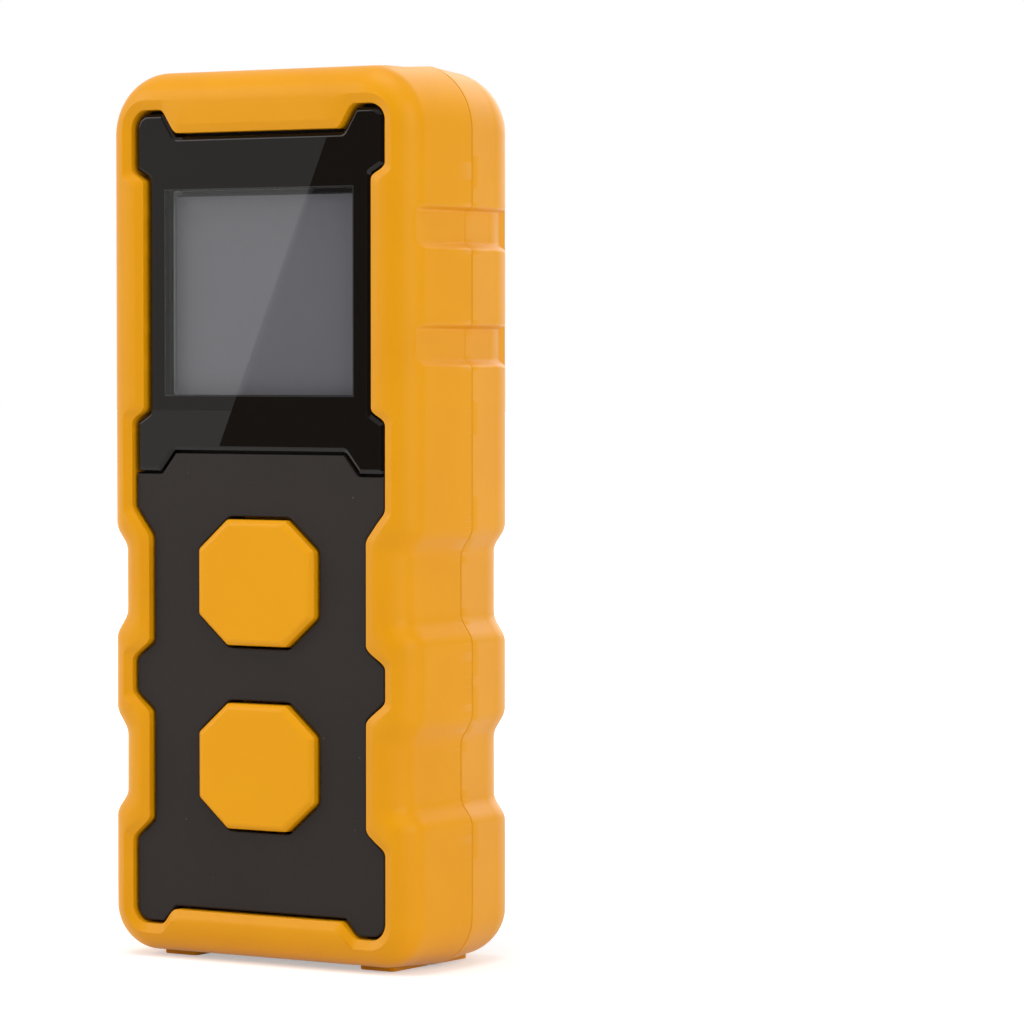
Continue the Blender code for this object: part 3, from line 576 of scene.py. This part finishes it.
# %% Skin of one case half
DRAFT = 0.45
GAP = 0.3
RETURN_DEPTH = 2.6
RIM_FOOT = ((0.0, 0.16), (0.04, 0.05), (0.16, 0.0))
SEAM = ((0.0, 0.15), (0.03, 0.06), (0.10, 0.025))
SEAM_FLAT, SEAM_INNER = 1.6, 2.0


def case_half(name, side, crest, roll, steps, rim, bevel, shape=None):
    """One half of the case as a ring-shaped tube. Depths are positive away from the parting plane."""
    width, drop = bevel
    outer, edge = case_line(0.0), rim(GAP + width)
    normal = outer - case_line(1.0)
    room = np.sum((outer - edge) * normal, 1) / np.maximum(np.sum(normal * normal, 1), 1e-6)
    turn = np.arccos(np.clip(1 - (room - DRAFT) / roll, 0, 1))
    top = crest - roll * (1 - np.sin(turn))
    rings = []

    def add(line, depth, outside=True):
        line = line.copy()
        if outside:
            groove = sum(hollow(line[:, 1], corners, 0.14) for corners in GROOVES)
            sunk = line[:, 0] - GROOVE_FLOOR
            if side > 0:
                past = line[:, 0] - GROOVE_END
                sunk = (0.6 + 0.1 * past) * np.tanh(1.6 * past)
            line[:, 0] -= groove * np.maximum(0.0, sunk)
        ring = np.stack([line[:, 0], np.broadcast_to(depth, (len(line),)) * 1.0, line[:, 1]], 1)
        if shape is not None and outside:
            ring = shape(ring)
        ring[:, 1] *= side
        rings.append(both_sides([tuple(point) for point in ring]))

    add(rim(GAP), crest - RETURN_DEPTH, False)
    for grow, lower in RIM_FOOT:
        add(rim(GAP + grow), top - drop - lower, False)
    add(rim(GAP + width * 0.8), top - drop * 0.22, False)
    add(edge, top)
    for k in range(steps + 1):
        part = turn * (1 - k / steps)
        add(case_line(DRAFT + roll * (1 - np.cos(part))), crest - roll * (1 - np.sin(part)))
    for part in (0.66, 0.33):
        add(case_line(DRAFT * part), (crest - roll) * part)
    for inset, depth in SEAM:
        add(case_line(inset), depth)
    add(case_line(SEAM_FLAT), SEAM[-1][1], False)
    add(case_line(SEAM_INNER), crest - RETURN_DEPTH, False)
    return solid(name + "_skin", rings, skin, nodes=[name], tube=True)


def port_cutter():
    """The opening in the end face, which both halves share."""
    opening = outline_of(block(14.8, -6.65, 7.2), 2.4)
    return solid("port_cutter", along_z(opening, [(86.0, 0.0), (97.0, 0.0)]))


def front_rim(grow):
    return rim_line(grow, (*LOW_WAISTS, SCREEN_WAIST), True)


def rear_rim(grow):
    return rim_line(grow, LOW_WAISTS, False)


front_skin = case_half("front_shell", -1, 11.0, 3.3, 12, front_rim, (1.0, 0.3))
finish(front_skin, port_cutter())

# %% [markdown]
# ### Rear half
# The rear half rolls over more. Two small features sit on its roll: a hood over the charging socket and a
# shallow step along the top edge. Both are pushed out of, or into, the roll by a smooth amount, so they
# grow out of the surface as they would in one moulding.

# %% Rear skin
HOOD_RISE, STEP_DROP = 2.3, 0.45


def rear_features(ring):
    """Raise the hood and sink the step on a ring of the rear half."""
    x, depth, z = np.abs(ring[:, 0]), ring[:, 1], ring[:, 2]
    hood = hollow(x, (*FAR, 4.3, 5.7), 0.5) * hollow(z, (89.9, 90.7, 91.4, 93.1), 0.3)
    step = hollow(x, (*FAR, 10.6, 11.2), 0.12) * hollow(z, (93.15, 93.4, 120.0, 121.0), 0.1)
    moved = ring.copy()
    moved[:, 1] = depth + hood * HOOD_RISE * np.clip((depth - 8.0) / 1.5, 0.0, 1.0)
    moved[:, 2] = z - step * STEP_DROP * (depth > 6.5)
    return moved


rear_skin = case_half("rear_shell", 1, 11.9, 7.0, 26, rear_rim, (0.35, 0.10), rear_features)
finish(rear_skin, port_cutter())

# %% [markdown]
# The charging socket sits in an orange lip that belongs to the rear half. The two halves also share four
# low feet. Both are short stacks with a rolled end.

# %% Socket lip and feet
mouth = outline_of(block(4.2, 86.4, 89.0), 0.6)
lip_outline = outline_of(block(4.65, 85.9, 89.75), 0.7)
lip = solid("socket_lip", along_y(lip_outline, [(8.9, 0.0), (10.45, 0.0), (10.57, -0.05), (10.6, -0.14)]),
            skin, nodes=["rear_shell"])
finish(lip, solid("mouth_cutter", along_y(mouth, [(7.0, 0.0), (10.4, 0.0), (10.62, 0.1), (12.0, 0.1)])))

FOOT_LEVELS = [(1.6, 0.0), (0.12, 0.0), (0.03, -0.04), (0.0, -0.12)]


def foot(hand, side):
    """One low pad under a case half."""
    low_y, high_y = sorted((side * 0.06, side * 7.0))
    corners = [(14.8, low_y), (14.8, high_y), (10.5, high_y), (10.5, low_y)]
    if hand < 0:
        corners = [(-x, y) for x, y in reversed(corners)]
    half, end = "front" if side < 0 else "rear", "left" if hand < 0 else "right"
    return finish(solid(f"{half}_foot_{end}", along_z(outline_of(corners, 0.5), FOOT_LEVELS),
                        skin, nodes=[f"{half}_shell"]))


feet = [foot(hand, side) for hand in (-1, 1) for side in (-1, 1)]

# %% [markdown]
# ## Front panel and screen
# The charcoal panel lies a little below the rim. It is cut away for the glass and pierced for the keys and
# the window. Every cutter flares where it leaves the face, and the flare leaves the soft lit edge that a
# real opening has.

# %% Panel outline
PANEL_RIGHT = [(10.95, 5.6, 0.3), (12.5, 3.9, 0.5), (15.9, 3.9, 1.6)]
for waist, a, b, c, d in LOW_WAISTS:
    PANEL_RIGHT += [(15.9, a), (waist, b), (waist, c), (15.9, d)]
SCREEN_RIGHT = [(15.9, 56.8, 0.3), (14.25, 57.8, 0.3), (14.25, 82.4, 0.3), (15.9, 83.3, 0.3)]
HEAD_RIGHT = [(15.9, 89.3, 1.6), (12.3, 89.3, 0.3), (10.7, 86.8, 0.3)]
LENS_FOOT = [(10.9, 53.7, 0.3), (12.7, 51.5, 0.3), (15.9, 51.5, 0.4)]
front_outline = outline_of(both_sides(PANEL_RIGHT + SCREEN_RIGHT + HEAD_RIGHT), 0.7)
lens_outline = outline_of(both_sides(LENS_FOOT + SCREEN_RIGHT + HEAD_RIGHT), 0.4)
print("points round the glass:", len(lens_outline()), "and the panel:", len(front_outline()))

# %% [markdown]
# ### Keys and their openings
# The keys are eight-sided, and the opening for a key is the same outline, grown by the gap.

# %% Front panel
KEYS = {"upper_button": 40.05, "lower_button": 20.8}
PANEL_EDGE = [(7.2, 0.6), (8.2, 0.6), (8.2, 0.0), (9.88, 0.0), (10.03, -0.05), (10.1, -0.18)]
SEAT_FLARE = [(8.7, 0.22), (9.86, 0.22), (10.03, 0.28), (10.1, 0.42), (11.0, 0.42)]
KEY_FLARE = [(6.0, 0.0), (9.86, 0.0), (10.03, 0.06), (10.1, 0.2), (11.0, 0.2)]


def key_outline(height, grow=0.0):
    """The eight-sided outline of a front key, grown outwards."""
    (half_x, half_z), (cut_x, cut_z) = (7.38, 6.58), (3.65, 3.15)
    low, high = height - half_z, height + half_z
    corners = both_sides([(half_x - cut_x, low), (half_x, low + cut_z), (half_x, high - cut_z),
                          (half_x - cut_x, high)])
    return lambda extra=0.0: filleted(corners, 0.6, grow + extra)


panel = solid("front_panel_face", along_y(front_outline, PANEL_EDGE, -1), charcoal,
              nodes=["front_panel"])
cutters = [solid("seat_cutter", along_y(lens_outline, SEAT_FLARE, -1)),
           solid("window_cutter", along_y(outline_of(block(*WINDOW), 0.3), [(5.0, 0.0), (9.0, 0.0)], -1))]
for name, height in KEYS.items():
    cutters.append(solid(name + "_cutter", along_y(key_outline(height, GAP), KEY_FLARE, -1)))
finish(panel, *cutters)

# %% [markdown]
# ### Glass over the display
# The pane stands a hair proud of the panel and has a soft edge. The display is a stepped block: its narrow
# part reaches forward through the window of the panel, close behind the glass.

# %% Cover glass and display
PANE_EDGE = [(9.3, -0.1), (9.9, -0.1), (10.0, -0.14), (10.16, -0.40), (10.2, -0.52)]
glass_pane = solid("cover_glass", along_y(lens_outline, PANE_EDGE, -1), glass,
                   nodes=["screen_lens"])
finish(glass_pane)

DISPLAY_BACK, DISPLAY_FACE, DISPLAY_RIM = (13.2, 57.2, 82.5), (11.7, 59.65, 80.6), (11.65, 59.7, 80.55)
display_levels = [(4.9, DISPLAY_BACK), (6.6, DISPLAY_BACK), (6.6, DISPLAY_FACE), (8.6, DISPLAY_FACE),
                  (8.6, DISPLAY_RIM)]
display = solid("display", [[(x, -depth, z) for x, z in filleted(block(*shape), 0.2, 0.0, 2)]
                            for depth, shape in display_levels], film, nodes=["lcd_panel"])
finish(display)

# %% [markdown]
# ## Keys
# The two front keys are eight-sided caps with a flat top, a 45 degree chamfer whose edges are rolled, and a
# lip inside that keeps them from falling out. They ride on their own bodies, so they travel.

# %% Front keys
KEY_LEVELS = [(5.8, 1.0), (6.8, 1.0), (6.8, 0.0), (10.50, 0.0), (10.60, -0.03), (10.70, -0.10),
              (10.88, -0.32), (10.97, -0.46), (11.0, -0.68)]
for name, height in KEYS.items():
    finish(solid(name + "_cap", along_y(key_outline(height), KEY_LEVELS, -1), key_skin,
                 body=name.replace("button", "key"), nodes=[name]))

# %% [markdown]
# ## Back
# The back panel repeats the waists of the front one. A screwed plate covers the battery: a dark step runs
# round it, five slots give a thumb some grip, and four screws sit deep in counterbores.

# %% Back panel
SCREWS = ((-10.1, 81.5), (10.1, 81.5), (-10.1, 10.1), (10.1, 10.1))
REAR_ROLL = [(10.38, 0.0), (10.53, -0.05), (10.6, -0.18)]
COVER_SEAT = [(8.7, 0.34), (10.34, 0.34), (10.53, 0.40), (10.6, 0.55), (12.0, 0.55)]
rear_outline = outline_of(both_sides(PANEL_RIGHT + [(15.9, 89.3, 1.6)]), 0.8)
cover_outline = outline_of(block(11.95, 8.25, 83.55), 1.2)
rear_key_outline = outline_of(block(3.7, 78.25, 82.15), 0.55)
notch_outline = outline_of(block(4.85, 85.7, 95.0), 0.8)

back_edge = [(7.4, 0.6), (8.8, 0.6), (8.8, 0.0)] + REAR_ROLL
back_panel = solid("back_panel_face", along_y(rear_outline, back_edge), slate,
                   nodes=["rear_panel"])
seat = solid("cover_seat_cutter", along_y(cover_outline, COVER_SEAT))
notch = solid("notch_cutter", along_y(notch_outline, [(6.0, 0.0), (12.0, 0.0)]))
key_well = solid("key_well_cutter", along_y(rear_key_outline, [(6.0, 0.4), (12.0, 0.4)]))
finish(back_panel, seat, notch, key_well)

# %% [markdown]
# ### Battery cover
# The finger slots are shallow, with a rounded bottom edge. The bores for the screws go deeper, and the key
# comes through an opening of its own.

# %% Battery cover
GRIPS = ((16.6, 18.3), (22.6, 24.2), (28.5, 30.0), (34.5, 36.0), (40.3, 41.9))
GRIP_HALF, BORE = 8.4, 1.3
KEY_FLARE_REAR = [(8.0, 0.42), (10.2, 0.42), (10.5, 0.52), (10.62, 0.75), (12.0, 0.75)]
GRIP_LEVELS = [(10.05, -0.12), (10.1, -0.04), (10.38, 0.0), (10.61, 0.24), (12.0, 0.24)]
BORE_LEVELS = [(9.2, 0.0), (10.45, 0.0), (10.56, 0.06), (10.62, 0.18), (12.0, 0.18)]
cover = solid("battery_cover_plate", along_y(cover_outline, [(9.0, 0.0)] + REAR_ROLL), cover_black,
              nodes=["battery_cover"])
cutters = [solid("key_opening_cutter", along_y(rear_key_outline, KEY_FLARE_REAR))]
for low, high in GRIPS:
    cutters.append(solid("grip_cutter", along_y(outline_of(block(GRIP_HALF, low, high), 0.3), GRIP_LEVELS)))
for centre in SCREWS:
    cutters.append(solid("bore_cutter", along_y(round_outline(centre, BORE), BORE_LEVELS)))
finish(cover, *cutters)

# %% [markdown]
# ### Screws and the rear key
# A screw head is a low disc with a six-sided drive. The rear key has a flange inside, like the front ones,
# and a well-rounded top.

# %% Cover screws and rear key
HEAD = [(9.15, 0.0), (10.1, 0.0), (10.22, -0.05), (10.26, -0.15), (10.26, -0.3), (10.2, -0.36),
        (10.2, -0.44)]
HEAD_RADIUS, DRIVE_RADIUS = 1.02, 0.42
for number, centre in enumerate(SCREWS, 1):
    head = solid(f"cover_screw_{number}_head", along_y(round_outline(centre, HEAD_RADIUS), HEAD),
                 screw_black, nodes=[f"cover_screw_{number}"])
    drive = round_outline(centre, DRIVE_RADIUS, 6)
    finish(head, solid("drive_cutter", along_y(drive, [(9.85, 0.0), (12.0, 0.0)])))

REAR_KEY_LEVELS = [(6.2, 0.9), (7.0, 0.9), (7.0, 0.0), (10.3, 0.0), (10.52, -0.05), (10.70, -0.18),
                   (10.84, -0.42), (10.9, -0.75)]
rear_key = solid("rear_key_cap", along_y(rear_key_outline, REAR_KEY_LEVELS), key_black,
                 body="back_key", nodes=["rear_key"])
finish(rear_key)

# %% [markdown]
# ## Socket end
# A black plate closes the end of the case. Each socket stands in a shallow recess, and only the cut lip of
# its steel can catches the light. Between them a small round window lets the beam out.

# %% End plate
DATA_CENTRE, VIDEO_CENTRE, BEAM_CENTRE = (-9.1, 0.14), (6.17, -0.95), (-3.5, 0.55)


def shifted(corners, centre):
    return [(c[0] + centre[0], c[1] + centre[1], *c[2:]) for c in corners]


DATA = shifted([(1.98, -3.35, 0.35), (1.98, 3.45, 0.3), (1.55, 3.85, 0.3), (-1.1, 3.85, 0.3),
                (-1.98, 3.0, 0.3), (-1.98, -3.0, 0.3), (-1.1, -3.85, 0.3), (1.4, -3.85, 0.35)], DATA_CENTRE)
VIDEO = shifted([(4.0, -1.92, 0.3), (5.6, -0.35, 0.3), (5.6, 1.5, 0.3), (5.2, 1.92, 0.3), (-5.2, 1.92, 0.3),
                 (-5.6, 1.5, 0.3), (-5.6, -0.35, 0.3), (-4.0, -1.92, 0.3)], VIDEO_CENTRE)
data_outline, video_outline = outline_of(DATA, 0.3), outline_of(VIDEO, 0.3)
plate_outline = outline_of(block(14.5, -6.35, 6.9), 2.1)
PLATE_LEVELS = [(90.2, 0.0), (93.1, 0.0), (93.25, -0.05), (93.3, -0.17)]
RECESS = [(89.0, 0.12), (92.7, 0.12), (92.72, 0.62), (93.1, 0.66), (93.24, 0.70), (93.32, 0.85),
          (96.0, 0.85)]
end_plate = solid("end_plate", along_z(plate_outline, PLATE_LEVELS), end_black,
                  nodes=["port_panel"])
cutters = [solid("socket_cutter", along_z(outline, RECESS)) for outline in (data_outline, video_outline)]
cutters.append(solid("beam_cutter", along_z(round_outline(BEAM_CENTRE, 1.15), [(89.0, 0.0), (96.0, 0.0)])))
finish(end_plate, *cutters)

# %% [markdown]
# ### Sockets and beam window
# A can is a stack that turns back into itself at the mouth, which leaves a thin rolled lip. The window has
# the same kind of lip round a flat disc.

# %% Sockets and beam window
def can(name, outline, ends, stack, look):
    """A thin folded can, open at its mouth: outside wall, rolled lip, inside wall and floor."""
    mouth_level, bottom = ends
    levels = [(bottom, 0.0), (mouth_level - 0.06, 0.0), (mouth_level, -0.05), (mouth_level, -0.14),
              (mouth_level - 0.06, -0.2), (bottom + 0.4, -0.2)]
    return finish(solid(name + "_can", stack(outline, levels), look,
                        nodes=[name + "_shell"]))


BEAM_LEVELS = [(90.0, 0.0), (93.4, 0.0), (93.52, -0.05), (93.58, -0.15), (93.58, -0.28), (93.50, -0.36),
               (93.50, -0.6)]
charge_outline = outline_of(block(4.45, 86.15, 89.25), 1.3)
can("data_socket", data_outline, (END_MOUTH, 86.0), along_z, end_steel)
can("video_socket", video_outline, (END_MOUTH, 86.0), along_z, end_steel)
can("charge_socket", charge_outline, (CHARGE_MOUTH, 3.0), along_y, rear_steel)
beam = solid("beam_window", along_z(round_outline(BEAM_CENTRE, 1.0), BEAM_LEVELS), lens_dark,
             nodes=["laser_window"])
finish(beam)

# %% [markdown]
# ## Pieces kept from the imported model
# Inner parts keep their shape. They only need a finish, which goes into their material slots.

# %% Finishes for kept pieces
KEPT = {
    gasket_black: ["lens_gasket"],
    light_guide: ["lcd_backlight"],
    switch_grey: ["upper_button_switch", "lower_button_switch", "rear_key_switch", "battery_connector",
                  "buzzer"],
    tongue: ["data_socket_tongue", "video_socket_tongue", "charge_socket_tongue"],
    screw_black: [f"case_screw_{n}" for n in range(1, 5)],
    board: ["main_board"],
    foil: ["battery_pack"],
    brass: ["laser_module"],
}
for look, names in KEPT.items():
    for name in names:
        for material_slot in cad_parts[name].material_slots:
            material_slot.material = look.material
print("kept pieces with a new finish:", sum(len(names) for names in KEPT.values()))

# %% [markdown]
# ## Studio
# A pale floor and a white room carry the object. Broad soft lamps stand left, right and above, so every
# edge has a tone of its own. A black card, seen only in reflections, stands where the glass mirrors it:
# its slanting edge splits the screen into a paler and a darker part.

# %% Floor and room
FLOOR_REACH, ROOM_GLOW = 4, 0.42
FAR_RISE, FAR_SPREAD = 60000.0, 100000.0    # squares of distances, in square millimetres
floor_look = Look("studio_floor", Roughness=0.9, Specular_IOR_Level=0.0)
path = floor_look.node("ShaderNodeLightPath").socket.node
seen = Wire(floor_look, path.outputs["Is Camera Ray"]) + Wire(floor_look, path.outputs["Is Glossy Ray"])
seen = seen + Wire(floor_look, path.outputs["Is Transmission Ray"])
dapple = floor_look.noise(40.0, 2.0)
floor_look.set("Base Color", floor_look.mix(dapple, (0.80, 0.80, 0.80), (0.81, 0.81, 0.81)))
floor_x, floor_y, _ = floor_look.axes()
away = (floor_x * floor_x + floor_y * floor_y).above(FAR_RISE, FAR_SPREAD)
floor_look.set("Emission Color", seen * (ROOM_GLOW + away * 0.6))
floor_look.set("Emission Strength", 1.0)
mesh = bpy.data.meshes.new("floor")
corners = [(-FLOOR_REACH, -FLOOR_REACH, 0), (FLOOR_REACH, -FLOOR_REACH, 0), (FLOOR_REACH, FLOOR_REACH, 0),
           (-FLOOR_REACH, FLOOR_REACH, 0)]
mesh.from_pydata(corners, [], [(0, 1, 2, 3)])
mesh.materials.append(floor_look.material)
floor = bpy.data.objects.new("floor", mesh)
bpy.context.scene.collection.objects.link(floor)
floor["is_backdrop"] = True

world = bpy.data.worlds.new("white_room")
bpy.context.scene.world = world
world.use_nodes = True
tree = world.node_tree
background = tree.nodes["Background"]
background.inputs["Color"].default_value = (1.0, 1.0, 1.0, 1.0)
rays = tree.nodes.new("ShaderNodeLightPath")
total = rays.outputs["Is Camera Ray"]
for ray in ("Is Glossy Ray", "Is Transmission Ray"):
    add = tree.nodes.new("ShaderNodeMath")
    add.operation = "MAXIMUM"
    tree.links.new(total, add.inputs[0])
    tree.links.new(rays.outputs[ray], add.inputs[1])
    total = add.outputs[0]
level = tree.nodes.new("ShaderNodeMapRange")
level.inputs["To Min"].default_value = ROOM_GLOW
level.inputs["To Max"].default_value = 1.0
tree.links.new(total, level.inputs["Value"])
tree.links.new(level.outputs[0], background.inputs["Strength"])
print("room and floor ready")

# %% [markdown]
# Two cards take the place of a dim studio behind the camera. They show only in reflections, so they shade
# the gloss of the glass and the keys without darkening anything else.

# %% Lamps and cards
MIDDLE = Vector((0.0, 0.0, 0.047))


def lamp(name, place, size, watts):
    """A soft square lamp that looks at the middle of the object."""
    data = bpy.data.lights.new(name, "AREA")
    data.size, data.energy = size, watts
    made = bpy.data.objects.new(name, data)
    made.location = place
    made.rotation_euler = (MIDDLE - Vector(place)).to_track_quat("-Z", "Y").to_euler()
    bpy.context.scene.collection.objects.link(made)


lamp("left_softbox", (-0.75, -0.55, 0.45), 0.6, 3.6)
lamp("right_softbox", (0.85, -0.25, 0.35), 0.7, 3.6)
lamp("top_softbox", (0.0, -0.15, 0.95), 0.6, 3.4)
lamp("back_softbox", (-0.1, 0.9, 0.45), 0.7, 2.6)

# The black card stands upright. Its foot is longer than its top, which slants the edge that shows.
CARD_PLACE, CARD_ALONG = Vector((-0.2692, -0.5553, 0.0001)), Vector((-0.8174, 0.5761, 0.0))
CARD_TOP, CARD_FOOT, CARD_HEIGHT = 0.0705, 0.1252, Vector((0.0, 0.0, 0.1566))
mesh = bpy.data.meshes.new("black_card")
mesh.from_pydata([CARD_PLACE + CARD_ALONG * CARD_TOP + CARD_HEIGHT, CARD_PLACE + CARD_ALONG * CARD_FOOT,
                  CARD_PLACE, CARD_PLACE + CARD_HEIGHT], [], [(0, 1, 2, 3)])
card_look = Look("black_card", Roughness=1.0, Specular_IOR_Level=0.0)
card_look.set("Base Color", card_look.mix(card_look.noise(60.0), (0.09, 0.09, 0.09), (0.11, 0.11, 0.11)))
wall = bpy.data.meshes.new("camera_side_card")
folds, wall_height = [(-0.30, -0.95), (0.45, -0.85), (1.0, -0.1), (0.80, 0.70)], 0.62
wall_points = [(x, y, z) for x, y in folds for z in (0.0, wall_height)]
wall.from_pydata(wall_points, [], [(k, k + 2, k + 3, k + 1) for k in (0, 2, 4)])
for shape in (mesh, wall):
    shape.materials.append(card_look.material)
    card = bpy.data.objects.new(shape.name, shape)
    bpy.context.scene.collection.objects.link(card)
    for ray in ("camera", "diffuse", "transmission", "shadow"):
        setattr(card, "visible_" + ray, False)
    card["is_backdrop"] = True

# %% [markdown]
# ## Camera
# A long lens from the front right, level with the screen. It is aimed a little to the right of the object
# and down, which sets the object left of the middle without any lens shift.

# %% Camera
AZIMUTH, DISTANCE, EYE = math.radians(35.25), 510.0, 63.9
AIM_RIGHT, AIM_DOWN = 2.35, 1.88
LENS_LENGTH, SENSOR_WIDTH = 169.1, 36.0
ahead = Vector((-math.sin(AZIMUTH), math.cos(AZIMUTH), 0.0))
aside = Vector((math.cos(AZIMUTH), math.sin(AZIMUTH), 0.0))
swing, dip_angle = math.radians(AIM_RIGHT), math.radians(AIM_DOWN)
level_aim = ahead * math.cos(swing) + aside * math.sin(swing)
aim = level_aim * math.cos(dip_angle) - Vector((0.0, 0.0, 1.0)) * math.sin(dip_angle)
data = bpy.data.cameras.new("camera")
data.lens, data.sensor_width, data.clip_start = LENS_LENGTH, SENSOR_WIDTH, 0.01
camera = bpy.data.objects.new("camera", data)
camera.location = (Vector((0.0, PARTING, EYE)) - ahead * DISTANCE) * MM
camera.rotation_euler = aim.to_track_quat("-Z", "Y").to_euler()
bpy.context.scene.collection.objects.link(camera)
bpy.context.scene.camera = camera
bpy.context.scene.view_settings.view_transform = "Standard"
print("camera at", [round(c, 4) for c in camera.location])

# %% [markdown]
# ## Size
# Both boxes, of the imported model and of the visible one, are printed side by side. The visible model
# has to keep to the box of the imported one.

# %% Print both boxes
boxes = {"cad": cad_box, "visual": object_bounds()}
for name, box in boxes.items():
    print(name, "box in mm:", [[round(c / MM, 2) for c in corner] for corner in box])
